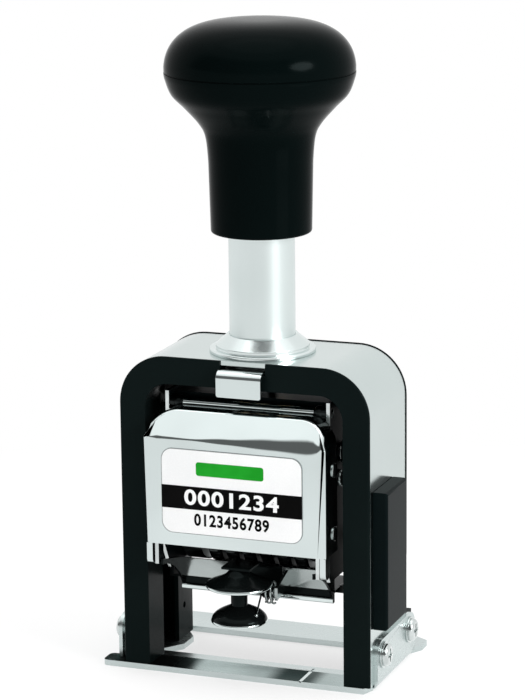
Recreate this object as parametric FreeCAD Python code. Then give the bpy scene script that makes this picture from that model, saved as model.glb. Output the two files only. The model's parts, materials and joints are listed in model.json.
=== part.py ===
import FreeCAD, Part
import math
import os

from FreeCAD import Vector

# Hand numbering machine. All lengths in millimetres.
# Every piece is designed about the plunger's axis, with X to the right, Y to the
# back, Z up and the floor at zero. The save step moves the origin to the middle
# of the footprint.

# Plunger stroke, and the play between pieces that turn or slide on each other
stroke = 26.5
running_play = 0.05
side_play = 0.3

# Number wheels and their axle
wheel_count = 6
wheel_radius = 10.5
wheel_axis_depth = 4.0
wheel_width = 3.7
digit_rise = 0.8
digit_height = 4.4
digit_width = 2.5
digit_stroke = 0.55
ratchet_root = 6.6
ratchet_tip = 8.0
ratchet_width = 1.1
wheel_gap = 0.1
axle_radius = 2.5
axle_overhang = 0.9
clip_radius = 3.4
clip_sheet = 0.4
spacer_radius = 10.0
spacer_length = 5.55

# Detent comb and feed gear
comb_sheet = 0.5
comb_finger_width = 0.7
comb_bar_height = 5.0
comb_gap = 0.25
rocker_sheet = 1.2
rocker_hub = 4.6
rocker_arm_width = 6.0
rocker_lean = 80.0
pawl_shaft_gap = 2.6
pawl_shaft_radius = 1.5
pawl_ring = 2.7
pawl_finger_width = 0.7
pawl_finger_depth = 2.0
pawl_gap = 0.5

# Carriage, from the wheels outward and upward
side_plate_sheet = 1.0
side_plate_ear = 3.4
side_plate_floor_gap = 0.53
back_room = 3.3
back_plate_sheet = 0.8
back_plate_drop = 4.0
bridge_depth = 16.0
bridge_drop = 8.0
bridge_height = 7.0
slope_step = 3.7
shoe_height = 6.8
shoe_rise = 1.4
shoe_gap = 1.14
shoe_reach = 3.0
shoe_stem_width = 5.0
shoe_stem_height = 4.0

# Cross rod behind the cover
cross_rod_radius = 1.2
cross_rod_gap = 1.3
cross_rod_lift = 0.2
cross_nut_radius = 1.9
cross_nut_step = 0.4

# Front cover with its label
cover_sheet = 0.8
cover_side_gap = 1.2
cover_rod_gap = 0.9
cover_depth = 9.4
cover_lift = 11.3
cover_step = 3.4
cover_slope_height = 6.9
cover_slope_depth = 5.2
cover_corner = 8.0
cover_ear_width = 1.6
cover_ear_depth = 3.4
cover_ear_lift = 5.4
cover_edge_round = 0.5
label_half = 19.6
label_side_step = 0.8
label_bottom_margin = 3.5
label_top_margin = 2.5
label_corner = 3.0
label_sheet = 0.3
cover_screw_radius = 1.2
cover_screw_collar = 2.1
cover_screw_inset = 6.0
cover_screw_rise = 5.2
cover_screw_drop = 6.7

# Ink arm with its pivots, springs and cam pins
arm_pivot_depth = -4.0
arm_pivot_lift = 25.0
arm_pin_radius = 1.8
arm_pin_shoulder = 2.6
arm_cover_gap = 0.7
arm_sheet = 1.2
arm_play = 0.63
arm_boss = 4.2
arm_width = 6.6
arm_bridge_drop = 4.0
arm_bridge_sheet = 0.7
arm_bridge_front = 2.0
arm_bridge_back = 9.3
arm_rail_sheet = 0.7
arm_rail_height = 1.4
cam_lever = 8.0
cam_lean = 8.0
cam_pin_radius = 1.2
cam_pin_reach = 3.4
cam_shoe_gap = 0.48
arm_spring_radius = 3.4
arm_spring_wire = 0.45
arm_spring_turns = 2

# Arch: a bent steel band around two moulded frames
arch_depth = 31.0
leg_width = 7.3
arch_radius = 13.0
opening_radius = 6.5
frame_face = 2.0
frame_lip = 0.7
frame_wall = 1.2
frame_edge_round = 0.5
guide_slot = 10.8
band_sheet = 1.3
foot_lug_reach = 4.2
foot_lug_width = 5.2
peg_hole_radius = 0.9
peg_hole_place = 9.5
peg_hole_height = 10.7

# Base plate with its side flanges
plate_sheet = 1.57
plate_front_step = 0.45
plate_tail = 11.14
plate_bar = 12.46
plate_side_bar = 5.33
plate_back_flare = 2.0
plate_corner = 3.4
window_notch = 4.3
window_notch_slope = 6.0
window_front_step = 0.8
window_back_step = 2.37
ear_length = 6.37
ear_depth = 6.0
ear_round = 1.5
front_chamfer_width = 1.6
front_chamfer_depth = 4.9
sight_line_offset = 15.5
sight_line_width = 0.5
sight_line_depth = 0.25
flange_sheet = 1.0
flange_bend = 2.4
flange_end_gap = 1.3
flange_top_gap = 0.9
flange_round = 4.0
left_stand_off = 2.2
stand_off_radius = 2.9

# Screws that hold the arch to the flanges
screw_head_radius = 3.1
screw_head_height = 1.4
screw_head_round = 1.1
screw_shank_radius = 1.5
screw_shank_length = 5.2
screw_slot_width = 0.8
screw_slot_length = 3.6
screw_slot_depth = 0.9
screw_height = 8.5
front_screw_place = 7.0
back_screw_inset = 0.5
washer_radius = 3.6
washer_sheet = 0.5

# Block on the right side
block_thickness = 4.04
block_inset = 2.5
block_depth = 16.75
block_bottom = 17.0
block_height = 37.3
block_bevel = 0.8

# Latch at the arch's top
latch_width = 12.5
latch_sheet = 1.0
latch_drop = 7.0
latch_bend = 2.4
latch_top_gap = 0.7
latch_overhang = 2.2
latch_nut_gap = 1.7
latch_guide_wall = 1.2
latch_guide_depth = 2.6
latch_guide_height = 3.4
latch_edge_round = 0.7

# Guide tube with collar, nut and bushes
tube_radius = 8.74
tube_wall = 1.1
tube_stub = 5.5
collar_flange_radius = 14.09
collar_flange_height = 1.1
collar_ring_radius = 12.4
collar_ring_height = 0.9
collar_cone_height = 2.7
tube_nut_wall = 1.86
tube_nut_height = 3.6
lower_bush_height = 4.4
top_bush_height = 2.6

# Handle
handle_radius = 25.0
neck_end_gap = 1.36
neck_height = 17.9
belly_height = 23.7
dome_height = 14.6
neck_radius = 12.9
neck_top_radius = 13.4
web_thickness = 4.0
web_depth = 8.6
cap_room_radius = 10.0
cap_room_height = 2.2
cap_spigot_wall = 1.4
cap_spigot_height = 1.8
seam_groove = 0.3
neck_edge_round = 1.0
# Belly and dome: radius as a share of the handle's, height as a share of the
# way from the neck's top to the seam, and from the seam to the crown
belly_shares = [(0.575, 0.28), (0.644, 0.43), (0.792, 0.607), (0.924, 0.751), (0.988, 0.92)]
dome_shares = [(0.964, 0.342), (0.924, 0.473), (0.76, 0.76), (0.48, 0.952)]

# Plunger rod, its spring and its nuts
rod_radius = 4.0
rod_ring_gap = 0.44
rod_ring_height = 2.0
handle_nut_radius = 6.4
handle_nut_height = 3.4
rod_nut_radius = 6.4
rod_nut_height = 4.2
spring_wire = 1.0
spring_turns = 8

# Pad holder and pad
holder_side_gap = 0.5
holder_sheet = 0.6
holder_front = 5.6
holder_drop = 5.7
holder_plate_lift = 2.8
holder_floor_gap = 0.1
lip_reach = 1.0
lip_height = 1.5
lip_round = 0.45
gasket_sheet = 0.3
gasket_height = 1.9
cheek_front = 20.8
cheek_tip_lift = 5.2
cheek_tip_height = 1.5
cheek_bulge_share = 0.13
pad_overlap = 2.35
pad_depth = 8.6
pad_gap = 0.3

# Knob on the pad holder, with its stud and spring
knob_place = 19.5
knob_lift = 5.9
knob_top_radius = 5.0
bell_height = 3.6
bell_rim_radius = 8.8
bell_rim_sheet = 0.5
bell_dish = 0.3
knob_neck_radius = 2.5
knob_neck_length = 6.4
knob_neck_flare = 1.0
mushroom_radius = 7.5
mushroom_drop = 2.6
mushroom_rim_sheet = 1.0
knob_rim_height = 0.45
knob_rim_width = 1.0
tongue_half = 4.0
tongue_back = 14.0
stud_behind_knob = 6.9
stud_drop = 3.6
stud_radius = 1.7
stud_start = 4.4
stud_length = 3.6
stud_bracket_sheet = 0.8
knob_spring_radius = 2.9
knob_spring_wire = 0.6
knob_spring_turns = 2
tail_wire = 0.5
tail_ball = 0.6
tail_drop = 4.0
tail_side = 5.4
tail_forward = 2.0
# The bell's flare: shares of the way from its top to its rim, out and down
bell_shares = [(0.158, 0.222), (0.474, 0.611)]

# Repeat dial on the right of the carriage
dial_depth = 9.4
dial_drop = 12.5
dial_gap = 0.85
dial_radius = 2.2
dial_shaft_radius = 1.4
dial_cam_radius = 3.2
dial_cam_width = 2.0
dial_flutes = 10
dial_flute_radius = 0.35

# One overrun serves all cuts
overrun = 1.0

# Widths, from the wheels outward
wheel_pitch = wheel_width + ratchet_width + wheel_gap
wheel_stack = wheel_count * wheel_pitch - wheel_gap
rocker_inner = wheel_stack / 2 + side_play
rocker_outer = rocker_inner + rocker_sheet
side_plate_inner = rocker_outer + side_play + spacer_length
side_plate_outer = side_plate_inner + side_plate_sheet
cover_half = side_plate_outer + cover_side_gap + cover_sheet
arm_inner = cover_half + arm_cover_gap
arm_outer = arm_inner + arm_sheet
opening_half = arm_outer + arm_play
arch_half = opening_half + leg_width
flange_outer = arch_half + flange_sheet
holder_half = side_plate_inner - holder_side_gap
dial_inner = rocker_outer + dial_gap

# Heights, from the floor up
wheel_axis_height = stroke + wheel_radius
pawl_shaft_reach = wheel_radius + pawl_shaft_gap + pawl_shaft_radius
arm_pivot_height = wheel_axis_height + arm_pivot_lift
cam_depth = arm_pivot_depth + cam_lever * math.sin(math.radians(cam_lean))
cam_height = arm_pivot_height + cam_lever * math.cos(math.radians(cam_lean))
shoe_bottom = cam_height + cam_pin_radius + cam_shoe_gap
side_plate_top = shoe_bottom + shoe_height - shoe_rise
side_plate_bottom = stroke + plate_sheet + side_plate_floor_gap
bridge_bottom = side_plate_top - bridge_drop
dial_height = bridge_bottom - dial_drop
opening_top = shoe_bottom + shoe_height + shoe_gap
arch_height = opening_top + leg_width
band_under = arch_height - band_sheet
cover_bottom = stroke + cover_lift
cover_ear_bottom = stroke + cover_ear_lift
cover_top = side_plate_top - cover_step
cover_fold = cover_top - cover_slope_height
cover_screw_heights = (cover_bottom + cover_screw_rise, cover_fold - cover_screw_drop)
cross_rod_height = cover_top + cross_rod_lift
flange_height = screw_height + washer_radius + flange_top_gap
collar_top = arch_height + collar_flange_height + collar_ring_height + collar_cone_height
neck_bottom = collar_top + stroke + neck_end_gap
neck_top = neck_bottom + neck_height
handle_seam = neck_top + belly_height
handle_top = handle_seam + dome_height
web_bottom = handle_seam - web_depth
web_top = web_bottom + web_thickness
tube_bore = tube_radius - tube_wall
tube_nut_radius = tube_radius + tube_nut_wall
rod_ring_radius = tube_bore - rod_ring_gap
spring_mean_radius = (rod_radius + tube_bore) / 2
tube_bottom = band_under - tube_stub
tube_top = web_bottom - stroke - side_play
ring_top = tube_top - top_bush_height - side_play
arm_bridge_bottom = stroke - arm_bridge_drop
pad_top = stroke - pad_gap
holder_bottom = stroke - holder_drop
holder_plate_top = stroke + holder_plate_lift
holder_floor_top = arm_bridge_bottom + arm_bridge_sheet + holder_floor_gap + holder_sheet
gasket_bottom = holder_bottom + lip_height
gasket_top = gasket_bottom + gasket_height
knob_top = stroke + knob_lift
bell_rim_height = knob_top - bell_height
bell_under = bell_rim_height - bell_rim_sheet
knob_neck_top = bell_under - bell_dish
knob_neck_bottom = knob_neck_top - knob_neck_length
mushroom_rim_height = knob_neck_bottom - mushroom_drop
mushroom_under = mushroom_rim_height - mushroom_rim_sheet
stud_height = knob_neck_top - stud_drop

# Depths, from the plunger's axis
arch_face = arch_depth / 2
cross_rod_depth = bridge_depth / 2 + cross_rod_gap + cross_rod_radius
cover_back = cross_rod_depth + cross_rod_radius + cover_rod_gap
cover_front = cover_back + cover_depth
cover_screw_depth = cover_front - cover_sheet - cover_screw_inset
side_plate_front = cover_front - cover_sheet
side_plate_back = wheel_axis_depth + wheel_radius + back_room
plate_front_reach = arch_face + plate_front_step
back_screw_place = arch_face - back_screw_inset
flange_front = front_screw_place + washer_radius + flange_end_gap
flange_back = back_screw_place + washer_radius + flange_end_gap
plate_back_reach = flange_back + plate_tail
stud_depth = knob_place - stud_behind_knob


def span_box(x0, x1, y0, y1, z0, z1):
    return Part.makeBox(x1 - x0, y1 - y0, z1 - z0, Vector(x0, y0, z0))


def rod_x(x0, x1, radius, y, z):
    return Part.makeCylinder(radius, x1 - x0, Vector(x0, y, z), Vector(1, 0, 0))


def rod_y(y0, y1, radius, x, z):
    return Part.makeCylinder(radius, y1 - y0, Vector(x, y0, z), Vector(0, 1, 0))


def rod_z(z0, z1, radius, x=0, y=0):
    return Part.makeCylinder(radius, z1 - z0, Vector(x, y, z0))


def sleeve_z(z0, z1, outer, inner):
    return rod_z(z0, z1, outer).cut(rod_z(z0 - overrun, z1 + overrun, inner))


def hex_nut(z0, z1, radius, bore):
    corners = [Vector(radius * math.cos(k * math.pi / 3), radius * math.sin(k * math.pi / 3), z0)
               for k in range(6)]
    body = Part.Face(Part.makePolygon(corners + corners[:1])).extrude(Vector(0, 0, z1 - z0))
    return body.cut(rod_z(z0 - overrun, z1 + overrun, bore))


def plate_x(x0, x1, points):
    corners = [Vector(x0, y, z) for y, z in points]
    return Part.Face(Part.makePolygon(corners + corners[:1])).extrude(Vector(x1 - x0, 0, 0))


def plate_z(z0, z1, points):
    corners = [Vector(x, y, z0) for x, y in points]
    return Part.Face(Part.makePolygon(corners + corners[:1])).extrude(Vector(0, 0, z1 - z0))


def turned(points):
    corners = [Vector(r, 0, z) for r, z in points]
    face = Part.Face(Part.makePolygon(corners + corners[:1]))
    return face.revolve(Vector(0, 0, 0), Vector(0, 0, 1), 360)


def turned_wire(edges):
    return Part.Face(Part.Wire(edges)).revolve(Vector(0, 0, 0), Vector(0, 0, 1), 360)


def arch_block(half, top, radius, y0, y1, bottom):
    block = span_box(-half, half, y0, y1, bottom, top)
    corners = [e for e in block.Edges
               if abs(e.Vertexes[0].Z - top) < side_play and abs(e.Vertexes[1].Z - top) < side_play
               and abs(e.Vertexes[0].X - e.Vertexes[1].X) < side_play]
    return block.makeFillet(radius, corners)


def mirrored(shape):
    return shape.mirror(Vector(0, 0, 0), Vector(1, 0, 0))


def pair(shape):
    return Part.Compound([shape, mirrored(shape)])


def round_edges(shape, radius, wanted):
    edges = [e for e in shape.Edges if wanted(e.BoundBox)]
    return shape.makeFillet(radius, edges)


# Arc from p0, along its tangent t0, to p1
def tangent_arc(p0, t0, p1):
    chord = p1 - p0
    half = chord.getAngle(t0)
    middle = (p0 + p1) / 2
    side = t0 * (chord.Length / 2 / math.cos(half)) + p0 - middle
    return Part.Arc(p0, middle + side * (math.tan(half / 2) / math.tan(half)), p1).toShape()


# Two arcs that leave p0 along t0 and reach p1 along t1
def biarc(p0, t0, p1, t1):
    way = p1 - p0
    both = t0 + t1
    a = 2 * (1 - t0.dot(t1))
    b = 2 * way.dot(both)
    reach = (-b + math.sqrt(b * b + 4 * a * way.dot(way))) / (2 * a)
    joint = ((p0 + t0 * reach) + (p1 - t1 * reach)) / 2
    along = (p1 - t1 * reach) - (p0 + t0 * reach)
    along.normalize()
    return [tangent_arc(p0, t0, joint), tangent_arc(joint, along, p1)]


# Coil about Z from z0, as one tube swept along quarter-turn biarcs
def coil(radius, wire, height, turns, z0, name):
    steps = 4 * turns
    rise = height / steps
    grade = rise / (radius * math.pi / 2)
    flat = 1 / math.sqrt(1 + grade * grade)
    points = []
    tangents = []
    for k in range(steps + 1):
        angle = k * math.pi / 2
        points.append(Vector(radius * math.cos(angle), radius * math.sin(angle), z0 + k * rise))
        tangents.append(Vector(-math.sin(angle) * flat, math.cos(angle) * flat, grade * flat))
    edges = []
    for k in range(steps):
        edges += biarc(points[k], tangents[k], points[k + 1], tangents[k + 1])
    ring = Part.Wire([Part.Circle(points[0], tangents[0], wire / 2).toShape()])
    tube = Part.Wire(edges).makePipeShell([ring], True, False)
    print(name, "least gap between turns", round(height / turns * flat - wire, 2))
    return tube


def between(start, end, share):
    return start + (end - start) * share


# The left side's twin of a piece, as far out as the left flange stands off the arch
def stood_off(shape):
    twin = mirrored(shape)
    twin.translate(Vector(-left_stand_off, 0, 0))
    return twin


# What the fold between plate and flange takes off their sharp corner
def bend_cut(front):
    corner = span_box(flange_outer - flange_bend, flange_outer + overrun, front, flange_back,
                      -overrun, flange_bend)
    fold = rod_y(front - overrun, flange_back + overrun, flange_bend, flange_outer - flange_bend, flange_bend)
    return corner.cut(fold)


def base_plate():
    back = plate_back_reach
    front = -plate_front_reach
    left = -arch_half - left_stand_off
    points = [
        (left, front),
        (arch_half - front_chamfer_width, front),
        (arch_half, front + front_chamfer_depth),
        (arch_half, flange_back),
        (arch_half + plate_back_flare, flange_back + plate_corner),
        (arch_half + plate_back_flare, back - plate_corner),
        (arch_half - plate_corner, back),
        (left + plate_corner, back),
        (left, back - plate_corner),
    ]
    plate = plate_z(0, plate_sheet, points)
    ear_tip = -arch_half - ear_length
    ear = span_box(ear_tip, -arch_half + overrun, front, front + ear_depth, 0, plate_sheet)
    ear = round_edges(ear, ear_round, lambda b: b.XMax < ear_tip + overrun and b.ZLength > plate_sheet / 2)
    plate = plate.fuse(ear)
    side = arch_half - plate_side_bar
    notch_front = front + plate_bar + window_front_step
    notch_back = back - plate_bar - window_back_step
    window = [
        (side, front + plate_bar),
        (side, notch_front),
        (side - window_notch, notch_front + window_notch_slope),
        (side - window_notch, notch_back - window_notch_slope),
        (side, notch_back),
        (side, back - plate_bar),
    ]
    window += [(-x, y) for x, y in reversed(window)]
    plate = plate.cut(plate_z(-overrun, plate_sheet + overrun, window))
    line = span_box(sight_line_offset - sight_line_width / 2, sight_line_offset + sight_line_width / 2,
                    front - overrun, front + plate_bar - ear_round,
                    plate_sheet - sight_line_depth, plate_sheet + overrun)
    plate = plate.cut(line)
    flange = span_box(arch_half, flange_outer, -flange_front, flange_back, 0, flange_height)
    flange = round_edges(flange, flange_round,
                         lambda b: b.ZMin > flange_height - overrun / 2 and b.YLength < overrun)
    for place in (-front_screw_place, back_screw_place):
        hole = rod_x(arch_half - overrun, flange_outer + overrun, screw_shank_radius,
                     place, screw_height)
        flange = flange.cut(hole)
    plate = plate.fuse([flange, stood_off(flange)]).removeSplitter()
    right_bend = bend_cut(-flange_front)
    left_bend = stood_off(bend_cut(front + ear_depth))
    return plate.cut(right_bend).cut(left_bend)


def outer_band():
    y0 = frame_lip - arch_face
    y1 = arch_face - frame_lip
    band = arch_block(arch_half, arch_height, arch_radius, y0, y1, plate_sheet)
    room = arch_block(arch_half - band_sheet, band_under, arch_radius - band_sheet,
                      y0 - overrun, y1 + overrun, plate_sheet - overrun)
    band = band.cut(room)
    band = band.cut(rod_z(band_under - overrun, arch_height + overrun, tube_radius))
    for place in (-front_screw_place, back_screw_place):
        band = band.cut(rod_x(-arch_half - overrun, arch_half + overrun, screw_shank_radius,
                              place, screw_height))
    return band


# The front frame: a lip that covers the band's edge, a face inside the band and
# a wall around the opening
def frame_shell():
    bottom = plate_sheet
    lip = arch_block(arch_half, arch_height, arch_radius, -arch_face, frame_lip - arch_face, bottom)
    lip = round_edges(lip, frame_edge_round,
                      lambda b: b.YMax < frame_lip / 2 - arch_face and b.ZMax > bottom + overrun)
    face = arch_block(arch_half - band_sheet, band_under, arch_radius - band_sheet,
                      frame_lip - arch_face, frame_face - arch_face, bottom)
    wall = arch_block(opening_half + frame_wall, opening_top + frame_wall,
                      opening_radius + frame_wall, frame_face - arch_face, -guide_slot / 2, bottom)
    opening = arch_block(opening_half, opening_top, opening_radius, -arch_face - overrun,
                         overrun, bottom - overrun)
    shell = lip.fuse([face, wall]).cut(opening)
    return shell.cut(rod_z(opening_top - overrun, arch_height, tube_nut_radius + side_play))


def front_frame():
    notch_bottom = arch_height - latch_top_gap - latch_sheet - side_play - band_sheet
    notch_half = latch_width / 2 + running_play + running_play
    notch = span_box(-notch_half, notch_half, -arch_face - overrun, -arch_face + frame_face + overrun,
                     notch_bottom, arch_height + overrun)
    return frame_shell().cut(notch).removeSplitter()


def rear_frame():
    frame = frame_shell().mirror(Vector(0, 0, 0), Vector(0, 1, 0))
    lug = span_box(arch_half - foot_lug_width, arch_half, arch_face - frame_lip,
                   arch_face + foot_lug_reach, plate_sheet, flange_height)
    frame = frame.fuse([lug, mirrored(lug)]).removeSplitter()
    seat = flange_outer + washer_sheet - screw_shank_length - side_play
    hole = rod_x(seat, arch_half + overrun, screw_shank_radius, back_screw_place, screw_height)
    peg = rod_x(opening_half - overrun, opening_half + frame_wall + overrun, peg_hole_radius,
                peg_hole_place, peg_hole_height)
    return frame.cut(Part.Compound([pair(hole), pair(peg)]))


def base_screw(y, length):
    seat = flange_outer + washer_sheet
    head = rod_x(seat, seat + screw_head_height, screw_head_radius, y, screw_height)
    rim = [e for e in head.Edges if e.BoundBox.XMin > seat + screw_head_height - running_play]
    head = head.makeFillet(screw_head_round, rim)
    shank = rod_x(seat - length, seat + running_play, screw_shank_radius, y, screw_height)
    screw = head.fuse(shank)
    top = seat + screw_head_height
    for long_y, long_z in ((screw_slot_length, screw_slot_width), (screw_slot_width, screw_slot_length)):
        slot = span_box(top - screw_slot_depth, top + overrun, y - long_y / 2, y + long_y / 2,
                        screw_height - long_z / 2, screw_height + long_z / 2)
        screw = screw.cut(slot)
    return screw


def base_screws():
    pieces = []
    for y in (-front_screw_place, back_screw_place):
        pieces.append(base_screw(y, screw_shank_length))
        pieces.append(stood_off(base_screw(y, screw_shank_length + left_stand_off)))
    return Part.Compound(pieces)


def base_ring(x0, x1, radius, y):
    hole = rod_x(x0 - overrun, x1 + overrun, screw_shank_radius, y, screw_height)
    return rod_x(x0, x1, radius, y, screw_height).cut(hole)


def base_washers():
    pieces = []
    for y in (-front_screw_place, back_screw_place):
        washer = base_ring(flange_outer, flange_outer + washer_sheet, washer_radius, y)
        pieces.append(washer)
        pieces.append(stood_off(washer))
    return Part.Compound(pieces)


# Sleeves that hold the left flange off the arch
def base_spacers():
    pieces = []
    for y in (-front_screw_place, back_screw_place):
        pieces.append(base_ring(-arch_half - left_stand_off, -arch_half, stand_off_radius, y))
    return Part.Compound(pieces)


def side_block():
    outer = arch_half + block_thickness
    front = block_inset - arch_face
    block = span_box(arch_half, outer, front, front + block_depth,
                     block_bottom, block_bottom + block_height)
    return round_edges(block, block_bevel, lambda b: b.XMin > outer - running_play)


def collar():
    z0 = arch_height
    z1 = z0 + collar_flange_height
    z2 = z1 + collar_ring_height
    z3 = collar_top
    step = tube_wall / 2
    return turned([(tube_radius, z0), (collar_flange_radius, z0), (collar_flange_radius, z1 - step / 2),
                   (collar_flange_radius - step / 2, z1), (collar_ring_radius, z1),
                   (collar_ring_radius, z2), (tube_radius + step + step, z3 - step),
                   (tube_radius + step, z3), (tube_radius, z3)])


def guide_tube():
    return sleeve_z(tube_bottom, tube_top, tube_radius, tube_bore)


def tube_nut():
    return hex_nut(band_under - tube_nut_height, band_under, tube_nut_radius, tube_radius)


def lower_bush():
    return sleeve_z(tube_bottom, tube_bottom + lower_bush_height, tube_bore, rod_radius + running_play)


def top_bush():
    return sleeve_z(tube_top - top_bush_height, tube_top, tube_bore, rod_radius + running_play)


def return_spring():
    z0 = tube_bottom + lower_bush_height + spring_wire / 2 + running_play
    z1 = ring_top - rod_ring_height - spring_wire / 2 - running_play
    return coil(spring_mean_radius, spring_wire, z1 - z0, spring_turns, z0, "return spring")


def latch_tab():
    top = band_under - latch_top_gap
    half = latch_width / 2
    front = -arch_face - latch_overhang - latch_sheet
    back = -tube_nut_radius - latch_nut_gap
    bend = front + latch_bend
    inner = latch_bend - latch_sheet
    low = top - latch_drop
    slant = math.sqrt(2) / 2
    edges = [
        Part.makeLine(Vector(-half, back, top), Vector(-half, bend, top)),
        Part.Arc(Vector(-half, bend, top),
                 Vector(-half, bend - latch_bend * slant, top - latch_bend + latch_bend * slant),
                 Vector(-half, front, top - latch_bend)).toShape(),
        Part.makeLine(Vector(-half, front, top - latch_bend), Vector(-half, front, low)),
        Part.makeLine(Vector(-half, front, low), Vector(-half, front + latch_sheet, low)),
        Part.makeLine(Vector(-half, front + latch_sheet, low),
                      Vector(-half, front + latch_sheet, top - latch_bend)),
        Part.Arc(Vector(-half, front + latch_sheet, top - latch_bend),
                 Vector(-half, bend - inner * slant, top - latch_bend + inner * slant),
                 Vector(-half, bend, top - latch_sheet)).toShape(),
        Part.makeLine(Vector(-half, bend, top - latch_sheet), Vector(-half, back, top - latch_sheet)),
        Part.makeLine(Vector(-half, back, top - latch_sheet), Vector(-half, back, top)),
    ]
    tab = Part.Face(Part.Wire(edges)).extrude(Vector(latch_width, 0, 0))
    return round_edges(tab, latch_edge_round,
                       lambda b: b.YLength > latch_sheet / 2 and b.ZMax < low + running_play)


def latch_guide():
    half = latch_width / 2 + running_play + running_play
    y0 = frame_face - arch_face
    rail = span_box(half, half + latch_guide_wall, y0, y0 + latch_guide_depth,
                    band_under - latch_guide_height, band_under)
    foot = span_box(-half - latch_guide_wall, half + latch_guide_wall, y0, y0 + latch_guide_wall,
                    band_under - latch_guide_height, band_under - latch_top_gap - latch_sheet - side_play)
    return foot.fuse([rail, mirrored(rail)]).removeSplitter()


def handle_body():
    belly = [Vector(neck_top_radius, 0, neck_top)]
    belly += [Vector(handle_radius * r, 0, between(neck_top, handle_seam, z)) for r, z in belly_shares]
    belly.append(Vector(handle_radius, 0, handle_seam))
    curve = Part.BSplineCurve()
    curve.interpolate(belly)
    start = Vector(neck_radius - neck_edge_round, 0, neck_bottom)
    lift = Vector(neck_radius, 0, neck_bottom + neck_edge_round)
    edges = [
        Part.makeLine(Vector(0, 0, neck_bottom), start),
        Part.makeLine(start, lift),
        Part.makeLine(lift, belly[0]),
        curve.toShape(),
        Part.makeLine(belly[-1], Vector(0, 0, handle_seam)),
        Part.makeLine(Vector(0, 0, handle_seam), Vector(0, 0, neck_bottom)),
    ]
    body = turned_wire(edges)
    body = body.cut(rod_z(neck_bottom - overrun, web_bottom, tube_radius + running_play + running_play))
    body = body.cut(rod_z(web_bottom - overrun, web_top + overrun, rod_radius))
    body = body.cut(rod_z(web_top, handle_seam + overrun, cap_room_radius))
    groove = rod_z(handle_seam - seam_groove, handle_seam + overrun, handle_radius + overrun)
    groove = groove.cut(rod_z(handle_seam - overrun, handle_seam + overrun + overrun,
                              handle_radius - seam_groove))
    return body.cut(groove)


def handle_cap():
    dome = [Vector(handle_radius, 0, handle_seam)]
    dome += [Vector(handle_radius * r, 0, between(handle_seam, handle_top, z))
             for r, z in dome_shares]
    dome.append(Vector(0, 0, handle_top))
    curve = Part.BSplineCurve()
    curve.interpolate(Points=dome, InitialTangent=Vector(0, 0, 1), FinalTangent=Vector(-1, 0, 0))
    edges = [
        curve.toShape(),
        Part.makeLine(dome[-1], Vector(0, 0, handle_seam)),
        Part.makeLine(Vector(0, 0, handle_seam), dome[0]),
    ]
    cap = turned_wire(edges)
    spigot = sleeve_z(handle_seam - cap_spigot_height, handle_seam, cap_room_radius - running_play,
                      cap_room_radius - cap_spigot_wall)
    room = rod_z(handle_seam - overrun, handle_seam + cap_room_height, cap_room_radius - cap_spigot_wall)
    return cap.fuse(spigot).cut(room)


def plunger_rod():
    rod = rod_z(bridge_bottom - rod_nut_height, web_top + handle_nut_height, rod_radius)
    return rod.fuse(rod_z(ring_top - rod_ring_height, ring_top, rod_ring_radius)).removeSplitter()


def handle_nut():
    return hex_nut(web_top, web_top + handle_nut_height, handle_nut_radius, rod_radius)


def rod_nut():
    return hex_nut(bridge_bottom - rod_nut_height, bridge_bottom, rod_nut_radius, rod_radius)


def carriage_bridge():
    block = span_box(-side_plate_inner, side_plate_inner, -bridge_depth / 2, bridge_depth / 2,
                     bridge_bottom, bridge_bottom + bridge_height)
    return block.cut(rod_z(bridge_bottom - overrun, bridge_bottom + bridge_height + overrun, rod_radius))


def side_plate(with_dial):
    x0 = side_plate_inner
    x1 = side_plate_outer
    points = [
        (-side_plate_front, cover_ear_bottom),
        (-side_plate_front, cover_fold - slope_step),
        (side_play - cover_back, cover_fold),
        (side_play - cover_back, side_plate_top),
        (side_plate_back, side_plate_top),
        (side_plate_back, side_plate_bottom + side_plate_ear),
        (side_plate_back - side_plate_ear, side_plate_bottom),
        (-cover_back, side_plate_bottom),
        (side_plate_ear - side_plate_front, cover_bottom),
        (side_plate_ear - side_plate_front, cover_ear_bottom),
    ]
    plate = plate_x(x0, x1, points)
    holes = [
        (wheel_axis_depth, wheel_axis_height, axle_radius),
        (arm_pivot_depth, arm_pivot_height, arm_pin_radius),
        (-cross_rod_depth, cross_rod_height, cross_rod_radius),
    ]
    holes += [(-cover_screw_depth, height, cover_screw_radius) for height in cover_screw_heights]
    if with_dial:
        holes.append((-dial_depth, dial_height, dial_shaft_radius + running_play))
    for y, z, radius in holes:
        plate = plate.cut(rod_x(x0 - overrun, x1 + overrun, radius, y, z))
    return plate


def guide_shoe():
    reach = opening_half + frame_wall + shoe_reach
    half = guide_slot / 2 - side_play
    shoe = span_box(opening_half - side_play, reach, -half, half, shoe_bottom, shoe_bottom + shoe_height)
    middle = shoe_bottom + shoe_height - shoe_stem_height / 2 - side_plate_sheet
    stem = span_box(side_plate_outer, opening_half, -shoe_stem_width / 2, shoe_stem_width / 2,
                    middle - shoe_stem_height / 2, middle + shoe_stem_height / 2)
    return shoe.fuse(stem).removeSplitter()


def back_plate():
    return span_box(-side_plate_inner, side_plate_inner, side_plate_back - back_plate_sheet,
                    side_plate_back, side_plate_bottom + side_plate_ear, side_plate_top - back_plate_drop)


def cover_body(half, front, back, fold, top, slope, corner, bottom):
    points = [
        (-front, bottom),
        (-front, fold),
        (slope - front, top),
        (-back, top),
        (-back, bottom),
    ]
    body = plate_x(-half, half, points)
    front_view = arch_block(half, top, corner, -front - overrun, overrun - back, bottom)
    return body.common(front_view)


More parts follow.
